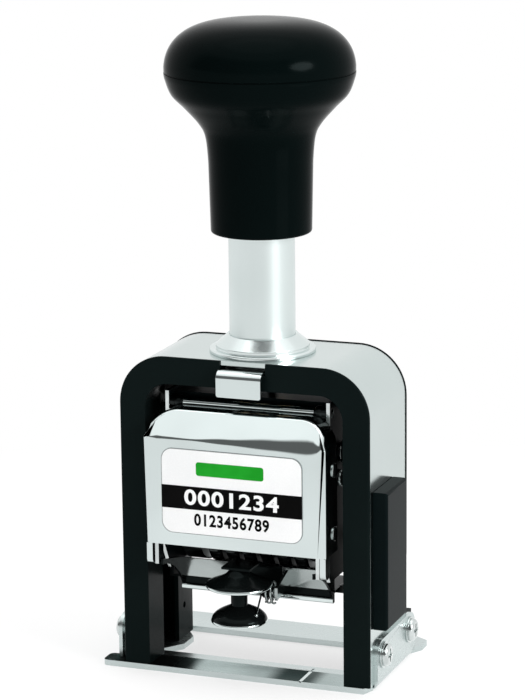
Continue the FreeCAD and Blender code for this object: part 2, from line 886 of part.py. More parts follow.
def front_cover():
    outer = cover_body(cover_half, cover_front, cover_back, cover_fold, cover_top,
                       cover_slope_depth, cover_corner, cover_bottom)
    outer = round_edges(outer, cover_edge_round,
                        lambda b: b.YMax < overrun / 2 - cover_front and b.XLength < overrun / 2)
    inner = cover_body(cover_half - cover_sheet, cover_front - cover_sheet, cover_back - overrun,
                       cover_fold - cover_sheet / 2, cover_top - cover_sheet, cover_slope_depth,
                       cover_corner - cover_sheet, cover_bottom - overrun)
    shell = outer.cut(inner)
    ear_back = cover_ear_depth - cover_front
    ear = span_box(cover_half - cover_ear_width, cover_half, -cover_front, ear_back,
                   cover_ear_bottom, cover_bottom)
    ear = round_edges(ear, cover_ear_depth / 2 - running_play,
                      lambda b: b.ZMax < cover_ear_bottom + running_play and b.YLength < running_play)
    shell = shell.fuse([ear, mirrored(ear)])
    for height in cover_screw_heights:
        shell = shell.cut(rod_x(-cover_half - overrun, cover_half + overrun, cover_screw_radius,
                                -cover_screw_depth, height))
    return shell


def label_plate():
    y1 = -cover_front
    left = -label_half - label_side_step
    right = label_half - label_side_step
    card = span_box(left, right, y1 - label_sheet, y1, cover_bottom + label_bottom_margin,
                    cover_fold - label_top_margin)
    return round_edges(card, label_corner, lambda b: b.XLength < running_play and b.ZLength < running_play)


def cover_screws():
    pieces = []
    for height in cover_screw_heights:
        shank = rod_x(side_plate_inner, cover_half, cover_screw_radius, -cover_screw_depth, height)
        ring = rod_x(side_plate_outer, cover_half - cover_sheet, cover_screw_collar,
                     -cover_screw_depth, height)
        pieces.append(shank.fuse(ring).removeSplitter())
    return Part.Compound(pieces + [mirrored(p) for p in pieces])


def cross_rod():
    return rod_x(-side_plate_outer, side_plate_outer, cross_rod_radius, -cross_rod_depth, cross_rod_height)


def cross_rod_nuts():
    sleeve = cross_rod_radius + cross_nut_step
    low = math.sqrt(cross_nut_radius ** 2 - cross_rod_radius ** 2)
    high = math.sqrt(cross_nut_radius ** 2 - sleeve ** 2)
    reach = cross_nut_radius + cross_nut_step
    start = Vector(cross_rod_radius, 0, -low)
    edges = [
        Part.Arc(start, Vector(cross_nut_radius, 0, 0), Vector(sleeve, 0, high)).toShape(),
        Part.makeLine(Vector(sleeve, 0, high), Vector(sleeve, 0, reach)),
        Part.makeLine(Vector(sleeve, 0, reach), Vector(cross_rod_radius, 0, reach)),
        Part.makeLine(Vector(cross_rod_radius, 0, reach), start),
    ]
    nut = turned_wire(edges)
    nut.rotate(Vector(0, 0, 0), Vector(0, 1, 0), 90)
    nut.translate(Vector(side_plate_inner - reach, -cross_rod_depth, cross_rod_height))
    return pair(nut)


# Strokes of a plain seven-stroke figure: middle X and Z as shares of the half
# width and half height, and which way each one runs
stroke_shares = [
    (0, 1, True), (-1, 0.5, False), (1, 0.5, False), (0, 0, True),
    (-1, -0.5, False), (1, -0.5, False), (0, -1, True),
]
figure_strokes = ["012456", "25", "02346", "02356", "1235", "01356", "013456", "025", "0123456", "012356"]


def figure(digit):
    half_w = (digit_width - digit_stroke) / 2
    half_h = (digit_height - digit_stroke) / 2
    base = wheel_radius - digit_rise - digit_stroke
    pieces = []
    for index in figure_strokes[digit]:
        x_share, z_share, flat = stroke_shares[int(index)]
        long_x = digit_width if flat else digit_stroke
        long_z = digit_stroke if flat else half_h + digit_stroke
        x = x_share * half_w
        z = z_share * half_h
        pieces.append(span_box(x - long_x / 2, x + long_x / 2, -wheel_radius, -base,
                               z - long_z / 2, z + long_z / 2))
    return pieces[0].multiFuse(pieces[1:])


# One wheel about X at the origin: a ten-sided drum with raised figures and its ratchet
def number_wheel_blank():
    flat_radius = wheel_radius - digit_rise
    corner_radius = flat_radius / math.cos(math.pi / 10)
    points = []
    for k in range(10):
        angle = (k + 0.5) * math.pi / 5
        points.append((corner_radius * math.cos(angle), corner_radius * math.sin(angle)))
    drum = plate_x(-wheel_width / 2, wheel_width / 2, points)
    figures = []
    for digit in range(10):
        mark = figure(digit)
        mark.rotate(Vector(0, 0, 0), Vector(1, 0, 0), digit * 36 + 90)
        figures.append(mark)
    teeth = []
    for k in range(10):
        start = k * math.pi / 5
        teeth.append((ratchet_tip * math.cos(start), ratchet_tip * math.sin(start)))
        teeth.append((ratchet_root * math.cos(start + math.pi / 18),
                      ratchet_root * math.sin(start + math.pi / 18)))
    ratchet = plate_x(wheel_width / 2, wheel_width / 2 + ratchet_width, teeth)
    wheel = drum.multiFuse(figures + [ratchet])
    reach = wheel_pitch
    return wheel.cut(rod_x(-reach, reach, axle_radius + running_play, 0, 0))


def wheel_middle(k):
    return wheel_width / 2 - wheel_stack / 2 + k * wheel_pitch


def place_wheel(blank, k):
    wheel = blank.copy()
    wheel.translate(Vector(wheel_middle(k), wheel_axis_depth, wheel_axis_height))
    return wheel


def lane_middle(k):
    return wheel_middle(k) + wheel_width / 2 + ratchet_width / 2


def wheel_axle():
    reach = side_plate_outer + axle_overhang
    return rod_x(-reach, reach, axle_radius, wheel_axis_depth, wheel_axis_height)


def axle_spacers():
    x0 = rocker_outer + side_play
    outer = rod_x(x0, side_plate_inner, spacer_radius, wheel_axis_depth, wheel_axis_height)
    spacer = outer.cut(rod_x(x0 - overrun, side_plate_inner + overrun, axle_radius,
                             wheel_axis_depth, wheel_axis_height))
    return pair(spacer)


def axle_clips():
    x0 = side_plate_outer
    disc = rod_x(x0, x0 + clip_sheet, clip_radius, wheel_axis_depth, wheel_axis_height)
    clip = disc.cut(rod_x(x0 - overrun, x0 + overrun, axle_radius, wheel_axis_depth, wheel_axis_height))
    return pair(clip)


def detent_comb():
    y1 = side_plate_back - back_plate_sheet
    low = wheel_axis_height
    bar = span_box(-side_plate_inner, side_plate_inner, y1 - comb_sheet, y1, low, low + comb_bar_height)
    tip = wheel_axis_depth + ratchet_tip + comb_gap
    fingers = []
    for k in range(wheel_count):
        middle = lane_middle(k)
        fingers.append(span_box(middle - comb_finger_width / 2, middle + comb_finger_width / 2,
                                tip, y1 - comb_sheet, low, low + comb_sheet))
    return bar.multiFuse(fingers).removeSplitter()


def rocker_point(reach):
    lean = math.radians(rocker_lean)
    return (wheel_axis_depth + reach * math.cos(lean), wheel_axis_height + reach * math.sin(lean))


def bar_outline(y0, z0, y1, z1, half):
    length = math.hypot(y1 - y0, z1 - z0)
    side_y = -(z1 - z0) / length * half
    side_z = (y1 - y0) / length * half
    return [(y0 + side_y, z0 + side_z), (y1 + side_y, z1 + side_z),
            (y1 - side_y, z1 - side_z), (y0 - side_y, z0 - side_z)]


def pawl_rocker():
    x0 = rocker_inner
    x1 = rocker_outer
    y, z = rocker_point(pawl_shaft_reach)
    hub = rod_x(x0, x1, rocker_hub, wheel_axis_depth, wheel_axis_height)
    end = rod_x(x0, x1, rocker_arm_width / 2, y, z)
    arm = plate_x(x0, x1, bar_outline(wheel_axis_depth, wheel_axis_height, y, z, rocker_arm_width / 2))
    plate = arm.fuse([hub, end]).removeSplitter()
    plate = plate.cut(rod_x(x0 - overrun, x1 + overrun, axle_radius + running_play,
                            wheel_axis_depth, wheel_axis_height))
    plate = plate.cut(rod_x(x0 - overrun, x1 + overrun, pawl_shaft_radius, y, z))
    return pair(plate)


def pawl_shaft():
    y, z = rocker_point(pawl_shaft_reach)
    return rod_x(-rocker_outer, rocker_outer, pawl_shaft_radius, y, z)


def feed_pawls():
    y, z = rocker_point(pawl_shaft_reach)
    tip_y, tip_z = rocker_point(ratchet_tip + pawl_gap)
    pieces = []
    for k in range(wheel_count):
        x0 = lane_middle(k) - pawl_finger_width / 2
        x1 = x0 + pawl_finger_width
        finger = plate_x(x0, x1, bar_outline(y, z, tip_y, tip_z, pawl_finger_depth / 2))
        pawl = finger.fuse(rod_x(x0, x1, pawl_ring, y, z))
        pieces.append(pawl.cut(rod_x(x0 - overrun, x1 + overrun, pawl_shaft_radius, y, z)))
    return Part.Compound(pieces)


def ink_arm():
    x0 = arm_inner
    x1 = arm_outer
    foot_y = (arm_bridge_back - arm_bridge_front) / 2
    foot_z = arm_bridge_bottom + arm_width / 2
    boss = rod_x(x0, x1, arm_boss, arm_pivot_depth, arm_pivot_height)
    lever = plate_x(x0, x1, bar_outline(arm_pivot_depth, arm_pivot_height, cam_depth, cam_height,
                                        arm_width / 3))
    lever_end = rod_x(x0, x1, arm_width / 3, cam_depth, cam_height)
    bar = plate_x(x0, x1, bar_outline(arm_pivot_depth, arm_pivot_height, foot_y, foot_z, arm_width / 2))
    foot = span_box(x0, x1, -arm_bridge_front, arm_bridge_back, arm_bridge_bottom,
                    arm_bridge_bottom + arm_width)
    side = bar.fuse([boss, lever, lever_end, foot])
    side = side.cut(rod_x(x0 - overrun, x1 + overrun, arm_pin_radius + running_play,
                          arm_pivot_depth, arm_pivot_height))
    side = side.cut(rod_x(x0 - overrun, x1 + overrun, cam_pin_radius, cam_depth, cam_height))
    bridge_top = arm_bridge_bottom + arm_bridge_sheet
    bridge = span_box(-arm_outer, arm_outer, -arm_bridge_front, arm_bridge_back,
                      arm_bridge_bottom, bridge_top)
    rail = span_box(holder_half + side_play, holder_half + side_play + arm_rail_sheet,
                    -arm_bridge_front, arm_bridge_back, arm_bridge_bottom, bridge_top + arm_rail_height)
    return bridge.fuse([side, mirrored(side), rail, mirrored(rail)]).removeSplitter()


def arm_pins():
    pin = rod_x(side_plate_inner, arm_outer, arm_pin_radius, arm_pivot_depth, arm_pivot_height)
    shoulder = rod_x(side_plate_outer, arm_inner - running_play, arm_pin_shoulder,
                     arm_pivot_depth, arm_pivot_height)
    return pair(pin.fuse(shoulder).removeSplitter())


def arm_springs():
    height = arm_inner - side_plate_outer - arm_spring_wire - side_play
    spring = coil(arm_spring_radius, arm_spring_wire, height, arm_spring_turns, 0, "arm spring")
    spring.rotate(Vector(0, 0, 0), Vector(0, 1, 0), 90)
    start = side_plate_outer + arm_spring_wire / 2 + side_play / 2
    spring.translate(Vector(start, arm_pivot_depth, arm_pivot_height))
    return pair(spring)


def cam_pins():
    return pair(rod_x(arm_inner, arm_outer + cam_pin_reach, cam_pin_radius, cam_depth, cam_height))


def cheek(x0, x1):
    top = holder_plate_top
    back = -holder_front + holder_sheet
    tip_bottom = stroke + cheek_tip_lift
    tip_top = tip_bottom + cheek_tip_height
    tip = Vector(x0, -cheek_front, tip_bottom)
    heel = Vector(x0, -holder_front, holder_bottom)
    chord = heel - tip
    middle = (tip + heel) / 2 + Vector(0, chord.z, -chord.y) * -cheek_bulge_share
    edges = [
        Part.Arc(heel, middle, tip).toShape(),
        Part.makeLine(tip, Vector(x0, -cheek_front, tip_top)),
        Part.makeLine(Vector(x0, -cheek_front, tip_top), Vector(x0, back, top)),
        Part.makeLine(Vector(x0, back, top), Vector(x0, back, holder_bottom)),
        Part.makeLine(Vector(x0, back, holder_bottom), heel),
    ]
    return Part.Face(Part.Wire(edges)).extrude(Vector(x1 - x0, 0, 0))


def pad_holder():
    back = -holder_front + holder_sheet
    plate = span_box(-holder_half, holder_half, -holder_front, back, holder_bottom, holder_plate_top)
    floor_bottom = holder_floor_top - holder_sheet
    floor = span_box(-holder_half, holder_half, -holder_front, wheel_axis_depth + pad_depth / 2 + holder_sheet,
                     floor_bottom, holder_floor_top)
    lip = span_box(-holder_half, holder_half, -holder_front - lip_reach, -holder_front,
                   holder_bottom, gasket_bottom)
    lip = round_edges(lip, lip_round,
                      lambda b: b.YMax < lip_reach / 2 - holder_front - lip_reach and b.XLength > lip_reach)
    side = cheek(holder_half - holder_sheet, holder_half)
    tongue_z = knob_top
    points = [
        (back, holder_plate_top - holder_sheet),
        (back, holder_plate_top),
        (-tongue_back, tongue_z + holder_sheet),
        (-knob_place - knob_top_radius / 2, tongue_z + holder_sheet),
        (-knob_place - knob_top_radius / 2, tongue_z),
        (-tongue_back, tongue_z),
        (-holder_front, holder_plate_top - holder_sheet),
    ]
    tongue = plate_x(-tongue_half, tongue_half, points)
    bracket_x = stud_start + stud_length
    bracket = plate_x(bracket_x, bracket_x + stud_bracket_sheet, [
        (-holder_front, gasket_top + side_play),
        (-holder_front, holder_plate_top - holder_sheet),
        (-stud_depth - stud_radius, stud_height + stud_radius),
        (-stud_depth - stud_radius, stud_height - stud_radius),
    ])
    stud = rod_x(stud_start, bracket_x, stud_radius, -stud_depth, stud_height)
    return plate.fuse([floor, lip, side, mirrored(side), tongue, bracket, stud]).removeSplitter()


def tray_gasket():
    half = holder_half - holder_sheet
    return span_box(-half, half, -holder_front - gasket_sheet, -holder_front, gasket_bottom, gasket_top)


def ink_pad():
    y0 = wheel_axis_depth - pad_depth / 2
    pad_half = wheel_stack / 2 + pad_overlap
    return span_box(-pad_half, pad_half, y0, y0 + pad_depth, holder_floor_top + running_play, pad_top)


def pad_knob():
    flare = [(between(knob_top_radius, bell_rim_radius, out), between(knob_top, bell_rim_height, down))
             for out, down in bell_shares]
    shape = turned([(0, knob_top), (knob_top_radius, knob_top)] + flare + [
        (bell_rim_radius, bell_rim_height),
        (bell_rim_radius, bell_under),
        (knob_neck_radius, knob_neck_top),
        (knob_neck_radius, knob_neck_bottom),
        (knob_neck_radius + knob_neck_flare, knob_neck_bottom - knob_neck_flare),
        (mushroom_radius, mushroom_rim_height),
        (mushroom_radius, mushroom_under),
        (0, mushroom_under),
    ])
    seat = sleeve_z(bell_under - overrun, bell_under + running_play, bell_rim_radius + overrun,
                    bell_rim_radius - knob_rim_width)
    knob = shape.cut(seat)
    knob.translate(Vector(0, -knob_place, 0))
    return knob


def knob_rims():
    upper_top = bell_under + running_play
    upper = sleeve_z(upper_top - knob_rim_height, upper_top, bell_rim_radius,
                     bell_rim_radius - knob_rim_width)
    lower = sleeve_z(mushroom_under - knob_rim_height, mushroom_under, mushroom_radius,
                     mushroom_radius - knob_rim_width)
    rims = Part.Compound([upper, lower])
    rims.translate(Vector(0, -knob_place, 0))
    return rims


def knob_spring():
    height = stud_length - knob_spring_wire - side_play
    spring = coil(knob_spring_radius, knob_spring_wire, height, knob_spring_turns, 0, "knob spring")
    spring.rotate(Vector(0, 0, 0), Vector(0, 1, 0), 90)
    spring.translate(Vector(stud_start + knob_spring_wire / 2 + side_play / 2, -stud_depth, stud_height))
    return spring


def spring_tail():
    start = Vector(stud_start + knob_spring_wire / 2 + side_play / 2,
                   -stud_depth - knob_spring_radius - knob_spring_wire / 2 - tail_wire / 2, stud_height)
    end = Vector(tail_side, -knob_place - tail_forward, stud_height - tail_drop)
    wire = Part.makeCylinder(tail_wire / 2, (end - start).Length, start, end - start)
    return wire.fuse(Part.makeSphere(tail_ball, end)).removeSplitter()


def repeat_dial():
    outer = arm_inner - side_play
    plate_out = side_plate_outer + running_play
    head = rod_x(plate_out, outer, dial_radius, -dial_depth, dial_height)
    for k in range(dial_flutes):
        angle = k * 2 * math.pi / dial_flutes
        head = head.cut(rod_x(plate_out - overrun, outer + overrun, dial_flute_radius,
                              dial_radius * math.cos(angle) - dial_depth,
                              dial_radius * math.sin(angle) + dial_height))
    shaft = rod_x(dial_inner, plate_out, dial_shaft_radius, -dial_depth, dial_height)
    disc = rod_x(dial_inner, dial_inner + dial_cam_width, dial_cam_radius, -dial_depth, dial_height)
    return head.fuse([shaft, disc]).removeSplitter()


pieces = {
    "base_plate": base_plate(),
    "outer_band": outer_band(),
    "front_frame": front_frame(),
    "rear_frame": rear_frame(),
    "base_screws": base_screws(),
    "base_washers": base_washers(),
    "base_spacers": base_spacers(),
    "side_block": side_block(),
    "collar": collar(),
    "guide_tube": guide_tube(),
    "tube_nut": tube_nut(),
    "lower_bush": lower_bush(),
    "top_bush": top_bush(),
    "return_spring": return_spring(),
    "latch_tab": latch_tab(),
    "latch_guide": latch_guide(),
    "handle_body": handle_body(),
    "handle_cap": handle_cap(),
    "handle_nut": handle_nut(),
    "plunger_rod": plunger_rod(),
    "rod_nut": rod_nut(),
    "carriage_bridge": carriage_bridge(),
    "side_plate_left": mirrored(side_plate(False)),
    "side_plate_right": side_plate(True),
    "guide_shoe_left": mirrored(guide_shoe()),
    "guide_shoe_right": guide_shoe(),
    "back_plate": back_plate(),
    "front_cover": front_cover(),
    "label_plate": label_plate(),
    "cover_screws": cover_screws(),
    "cross_rod": cross_rod(),
    "cross_rod_nuts": cross_rod_nuts(),
    "wheel_axle": wheel_axle(),
    "axle_spacers": axle_spacers(),
    "axle_clips": axle_clips(),
    "detent_comb": detent_comb(),
    "pawl_rocker": pawl_rocker(),
    "pawl_shaft": pawl_shaft(),
    "feed_pawls": feed_pawls(),
    "ink_arm": ink_arm(),
    "arm_pins": arm_pins(),
    "arm_springs": arm_springs(),
    "cam_pins": cam_pins(),
    "pad_holder": pad_holder(),
    "tray_gasket": tray_gasket(),
    "ink_pad": ink_pad(),
    "pad_knob": pad_knob(),
    "knob_rims": knob_rims(),
    "knob_spring": knob_spring(),
    "spring_tail": spring_tail(),
    "repeat_dial": repeat_dial(),
}
blank_wheel = number_wheel_blank()
for number in range(wheel_count):
    pieces["number_wheel_" + str(number + 1)] = place_wheel(blank_wheel, number)

# The footprint runs from the ear to the block, and from the knob to the plate's back
middle_x = (block_thickness - ear_length) / 2
middle_y = (plate_back_reach - knob_place - bell_rim_radius) / 2
os.makedirs("parts", exist_ok=True)
for name, shape in pieces.items():
    shape.translate(Vector(-middle_x, -middle_y, 0))
    shape.exportStep("parts/" + name + ".step")
    print(name, "solids", len(shape.Solids), "valid", shape.isValid(), "volume", round(shape.Volume, 1))
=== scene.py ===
import json
import math

import bpy
from mathutils import Matrix, Vector


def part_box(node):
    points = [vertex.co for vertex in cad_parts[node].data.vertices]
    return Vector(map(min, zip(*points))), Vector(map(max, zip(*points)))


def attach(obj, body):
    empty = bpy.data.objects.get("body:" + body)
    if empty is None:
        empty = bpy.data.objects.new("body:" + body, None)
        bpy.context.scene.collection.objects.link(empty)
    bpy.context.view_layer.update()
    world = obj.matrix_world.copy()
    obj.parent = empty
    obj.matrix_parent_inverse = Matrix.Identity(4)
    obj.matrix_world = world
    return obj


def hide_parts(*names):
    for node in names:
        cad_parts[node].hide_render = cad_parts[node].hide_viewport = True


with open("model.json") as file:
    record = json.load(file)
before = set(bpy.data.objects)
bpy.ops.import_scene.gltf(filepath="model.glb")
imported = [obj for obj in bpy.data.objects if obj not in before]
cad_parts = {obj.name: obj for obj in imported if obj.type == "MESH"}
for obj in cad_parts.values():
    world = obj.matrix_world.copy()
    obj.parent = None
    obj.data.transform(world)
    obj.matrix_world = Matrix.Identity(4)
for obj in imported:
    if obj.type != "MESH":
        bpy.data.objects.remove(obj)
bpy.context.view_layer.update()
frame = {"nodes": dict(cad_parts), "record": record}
mm = 0.001
tiny = 0.0001 * mm
tubeLow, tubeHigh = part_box("guide_tube")
axisX = (tubeLow.x + tubeHigh.x) / 2  # the plunger's axis
axisY = (tubeLow.y + tubeHigh.y) / 2
slotOf = {s["node"]: s["material_slot"] for s in frame["record"]["subparts"]}
bodyOf = {n: b for b, ns in frame["record"]["behaviour"]["bodies"].items() for n in ns}
print("frame loaded:", len(frame["nodes"]), "nodes")


# General helpers

def pickNothing():
    if bpy.context.mode != "OBJECT":
        bpy.ops.object.mode_set(mode="OBJECT")
    bpy.ops.object.select_all(action="DESELECT")


def pickOnly(obj):
    pickNothing()
    obj.select_set(True)
    bpy.context.view_layer.objects.active = obj


def applyModifiers(obj):
    pickOnly(obj)
    for mod in list(obj.modifiers):
        bpy.ops.object.modifier_apply(modifier=mod.name)


def freezePlace(obj):
    pickOnly(obj)
    bpy.ops.object.transform_apply(location=True, rotation=True, scale=True)


def joinPieces(main, others):
    pickOnly(main)
    for other in others:
        other.select_set(True)
    bpy.ops.object.join()
    return main


# Clears the pick in edit mode, ready for picking faces, edges or points in code
def clearPick(obj, kind):
    pickOnly(obj)
    bpy.ops.object.mode_set(mode="EDIT")
    bpy.ops.mesh.select_mode(type=kind)
    bpy.ops.mesh.select_all(action="DESELECT")
    bpy.ops.object.mode_set(mode="OBJECT")


# Opens edit mode with the faces picked whose middle and normal pass the test
def pickFaces(obj, wanted):
    clearPick(obj, "FACE")
    for face in obj.data.polygons:
        face.select = wanted(face.center, face.normal)
    bpy.ops.object.mode_set(mode="EDIT")


# The same for edges, by their two ends
def pickEdges(obj, wanted):
    clearPick(obj, "EDGE")
    points = obj.data.vertices
    for edge in obj.data.edges:
        edge.select = wanted(points[edge.vertices[0]].co, points[edge.vertices[1]].co)
    bpy.ops.object.mode_set(mode="EDIT")


# The same for points
def pickPoints(obj, wanted):
    clearPick(obj, "VERT")
    for point in obj.data.vertices:
        point.select = wanted(point.co)
    bpy.ops.object.mode_set(mode="EDIT")


def pickAll(obj):
    pickOnly(obj)
    bpy.ops.object.mode_set(mode="EDIT")
    bpy.ops.mesh.select_mode(type="VERT")
    bpy.ops.mesh.select_all(action="SELECT")


def leaveEdit():
    bpy.ops.object.mode_set(mode="OBJECT")


def near(a, b, room=0.01):
    return abs(a - b) < room * mm


def fixNormals(obj):
    pickAll(obj)
    bpy.ops.mesh.remove_doubles(threshold=0.001 * mm)
    bpy.ops.mesh.normals_make_consistent(inside=False)
    leaveEdit()


# Adds a row of edges right across the piece
def cutAcross(obj, place, normal):
    pickAll(obj)
    bpy.ops.mesh.bisect(plane_co=place, plane_no=normal, threshold=tiny)
    leaveEdit()


def stretchPiece(obj, value, centre):
    pickAll(obj)
    bpy.ops.transform.resize(value=value, center_override=centre)
    leaveEdit()


def roundEdges(obj, wanted, width, segments):
    pickEdges(obj, wanted)
    bpy.ops.mesh.bevel(offset=width * mm, segments=segments, affect="EDGES")
    leaveEdit()


# Smooth curves with flat faces kept flat
def smoothPiece(obj, degrees=30):
    pickOnly(obj)
    bpy.ops.object.shade_smooth_by_angle(angle=math.radians(degrees))
    weigh = obj.modifiers.new("weigh", "WEIGHTED_NORMAL")
    weigh.keep_sharp = True
    weigh.weight = 50
    applyModifiers(obj)


def addBevel(obj, width, segments=2, degrees=35):
    bevel = obj.modifiers.new("edge", "BEVEL")
    bevel.width = width
    bevel.segments = segments
    bevel.limit_method = "ANGLE"
    bevel.angle_limit = math.radians(degrees)
    bevel.use_clamp_overlap = True
    applyModifiers(obj)


def setMaterial(obj, material):
    obj.data.materials.clear()
    obj.data.materials.append(material)


def finishPiece(obj, body, slotName, material, *nodes):
    setMaterial(obj, material)
    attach(obj, body)
    if nodes:
        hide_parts(*nodes)


# A merged copy of a CAD piece with its edges eased
def copyNode(node, width, segments=2, degrees=35, smooth=30):
    obj = bpy.data.objects.new(node + "_dressed", frame["nodes"][node].data.copy())
    bpy.context.scene.collection.objects.link(obj)
    pickAll(obj)
    bpy.ops.mesh.remove_doubles(threshold=0.002 * mm)
    bpy.ops.mesh.dissolve_limited(angle_limit=math.radians(0.8))
    leaveEdit()
    if width:
        addBevel(obj, width, segments, degrees)
    smoothPiece(obj, smooth)
    return obj


def boxPiece(name, low, high):
    pickNothing()
    middle = [(a + b) / 2 for a, b in zip(low, high)]
    bpy.ops.mesh.primitive_cube_add(size=1, location=middle)
    obj = bpy.context.object
    obj.name = name
    obj.scale = [b - a for a, b in zip(low, high)]
    freezePlace(obj)
    return obj


# A turned piece about the Z axis through the origin: one extrusion for each
# step of its profile of (radius, height), in mm
def turnPiece(name, profile, around=96):
    pickNothing()
    radius, height = profile[0]
    bpy.ops.mesh.primitive_circle_add(vertices=around, radius=radius * mm, fill_type="NGON",
                                      location=(0, 0, height * mm))
    obj = bpy.context.object
    obj.name = name
    freezePlace(obj)
    pickAll(obj)
    for nextRadius, nextHeight in profile[1:]:
        bpy.ops.mesh.extrude_region_move(TRANSFORM_OT_translate={"value": (0, 0, (nextHeight - height) * mm)})
        share = nextRadius / radius
        bpy.ops.transform.resize(value=(share, share, 1), center_override=(0, 0, nextHeight * mm))
        radius, height = nextRadius, nextHeight
    leaveEdit()
    fixNormals(obj)
    return obj


def placePiece(obj, place, turn=(0, 0, 0)):
    obj.rotation_euler = [math.radians(a) for a in turn]
    obj.location = place
    freezePlace(obj)
    return obj


def mirrorCopy(obj, name):
    pickOnly(obj)
    bpy.ops.object.duplicate()
    twin = bpy.context.object
    twin.name = name
    stretchPiece(twin, (-1, 1, 1), (axisX, 0, 0))
    fixNormals(twin)
    return twin


# Points of a smooth curve through the given (radius, height) points
def smoothProfile(points, steps, startSlope=None, endSlope=None):
    count = len(points)
    slopes = []
    for i in range(count):
        before = points[max(i - 1, 0)]
        after = points[min(i + 1, count - 1)]
        slopes.append(((after[0] - before[0]) / 2, (after[1] - before[1]) / 2))
    if startSlope:
        slopes[0] = startSlope
    if endSlope:
        slopes[-1] = endSlope
    curve = []
    for i in range(count - 1):
        for k in range(steps):
            t = k / steps
            a = 2 * t ** 3 - 3 * t ** 2 + 1
            b = t ** 3 - 2 * t ** 2 + t
            c = 3 * t ** 2 - 2 * t ** 3
            d = t ** 3 - t ** 2
            curve.append(tuple(a * points[i][j] + b * slopes[i][j] + c * points[i + 1][j]
                               + d * slopes[i + 1][j] for j in range(2)))
    curve.append(points[-1])
    return curve


# Materials

def newMaterial(name):
    material = bpy.data.materials.new(name)
    material.use_nodes = True
    nodes = material.node_tree.nodes
    links = material.node_tree.links
    shader = nodes["Principled BSDF"]
    coords = nodes.new("ShaderNodeTexCoord")
    return material, nodes, links, shader, coords


def addNoise(nodes, links, coords, scale, detail=3, stretch=(1, 1, 1)):
    mapping = nodes.new("ShaderNodeMapping")
    mapping.inputs["Scale"].default_value = stretch
    noise = nodes.new("ShaderNodeTexNoise")
    noise.inputs["Scale"].default_value = scale
    noise.inputs["Detail"].default_value = detail
    links.new(coords.outputs["Object"], mapping.inputs["Vector"])
    links.new(mapping.outputs["Vector"], noise.inputs["Vector"])
    return noise.outputs["Fac"]


def addRange(nodes, links, value, low, high, fromLow=0.0, fromHigh=1.0):
    mapRange = nodes.new("ShaderNodeMapRange")
    mapRange.inputs["From Min"].default_value = fromLow
    mapRange.inputs["From Max"].default_value = fromHigh
    mapRange.inputs["To Min"].default_value = low
    mapRange.inputs["To Max"].default_value = high
    links.new(value, mapRange.inputs["Value"])
    return mapRange.outputs["Result"]


def addBump(nodes, links, height, shader, strength, distance):
    bump = nodes.new("ShaderNodeBump")
    bump.inputs["Strength"].default_value = strength
    bump.inputs["Distance"].default_value = distance
    links.new(height, bump.inputs["Height"])
    links.new(bump.outputs["Normal"], shader.inputs["Normal"])


def addMaths(nodes, links, kind, first, second):
    maths = nodes.new("ShaderNodeMath")
    maths.operation = kind
    links.new(first, maths.inputs[0])
    links.new(second, maths.inputs[1])
    return maths.outputs[0]


def tintMix(nodes, links, value, colourA, colourB, shader):
    ramp = nodes.new("ShaderNodeValToRGB")
    ramp.color_ramp.elements[0].position = 0.35
    ramp.color_ramp.elements[1].position = 0.65
    ramp.color_ramp.elements[0].color = (*colourA, 1)
    ramp.color_ramp.elements[1].color = (*colourB, 1)
    links.new(value, ramp.inputs["Fac"])
    links.new(ramp.outputs["Color"], shader.inputs["Base Color"])


# Metal: a slow change of tint, a fine grain in the roughness and the bump, and
# hairline marks that run along the given stretch
def metalMaterial(name, look):
    material, nodes, links, shader, coords = newMaterial(name)
    shader.inputs["Metallic"].default_value = 1
    broad = addNoise(nodes, links, coords, look["cloudScale"], 2)
    tintMix(nodes, links, broad, look["colourA"], look["colourB"], shader)
    grain = addNoise(nodes, links, coords, look["grainScale"], 4, look["stretch"])
    links.new(addRange(nodes, links, grain, look["roughLow"], look["roughHigh"]), shader.inputs["Roughness"])
    addBump(nodes, links, grain, shader, look["bump"], look["depth"])
    return material


mouldingTint = (0.78, 1, 1, 1)  # black mouldings reflect a little cooler than white
plainTint = (1, 1, 1, 1)


# Plastic, felt and print: an even colour with a faint skin
def plasticMaterial(name, look):
    material, nodes, links, shader, coords = newMaterial(name)
    shader.inputs["IOR"].default_value = look["ior"]
    shader.inputs["Specular Tint"].default_value = look.get("tint", mouldingTint)
    broad = addNoise(nodes, links, coords, look["cloudScale"], 2)
    tintMix(nodes, links, broad, look["colourA"], look["colourB"], shader)
    grain = addNoise(nodes, links, coords, look["grainScale"], 3)
    links.new(addRange(nodes, links, grain, look["roughLow"], look["roughHigh"]), shader.inputs["Roughness"])
    addBump(nodes, links, grain, shader, look["bump"], look["depth"])
    return material


chromeLook = {"colourA": (0.62, 0.685, 0.68), "colourB": (0.66, 0.73, 0.725),
              "cloudScale": 45, "grainScale": 900, "stretch": (1, 1, 1),
              "roughLow": 0.06, "roughHigh": 0.11, "bump": 0.015, "depth": 0.00001}
bandLook = {"colourA": (0.555, 0.625, 0.615), "colourB": (0.585, 0.655, 0.645),
            "cloudScale": 30, "grainScale": 1100, "stretch": (1, 0.06, 1),
            "roughLow": 0.14, "roughHigh": 0.22, "bump": 0.04, "depth": 0.00001}
plateLook = {"colourA": (0.54, 0.605, 0.60), "colourB": (0.58, 0.645, 0.64),
             "cloudScale": 40, "grainScale": 900, "stretch": (0.08, 1, 1),
             "roughLow": 0.24, "roughHigh": 0.32, "bump": 0.015, "depth": 0.00001}
trayLook = {"colourA": (0.34, 0.375, 0.37), "colourB": (0.42, 0.46, 0.455),
            "cloudScale": 60, "grainScale": 900, "stretch": (0.1, 1, 1),
            "roughLow": 0.14, "roughHigh": 0.24, "bump": 0.03, "depth": 0.00001}
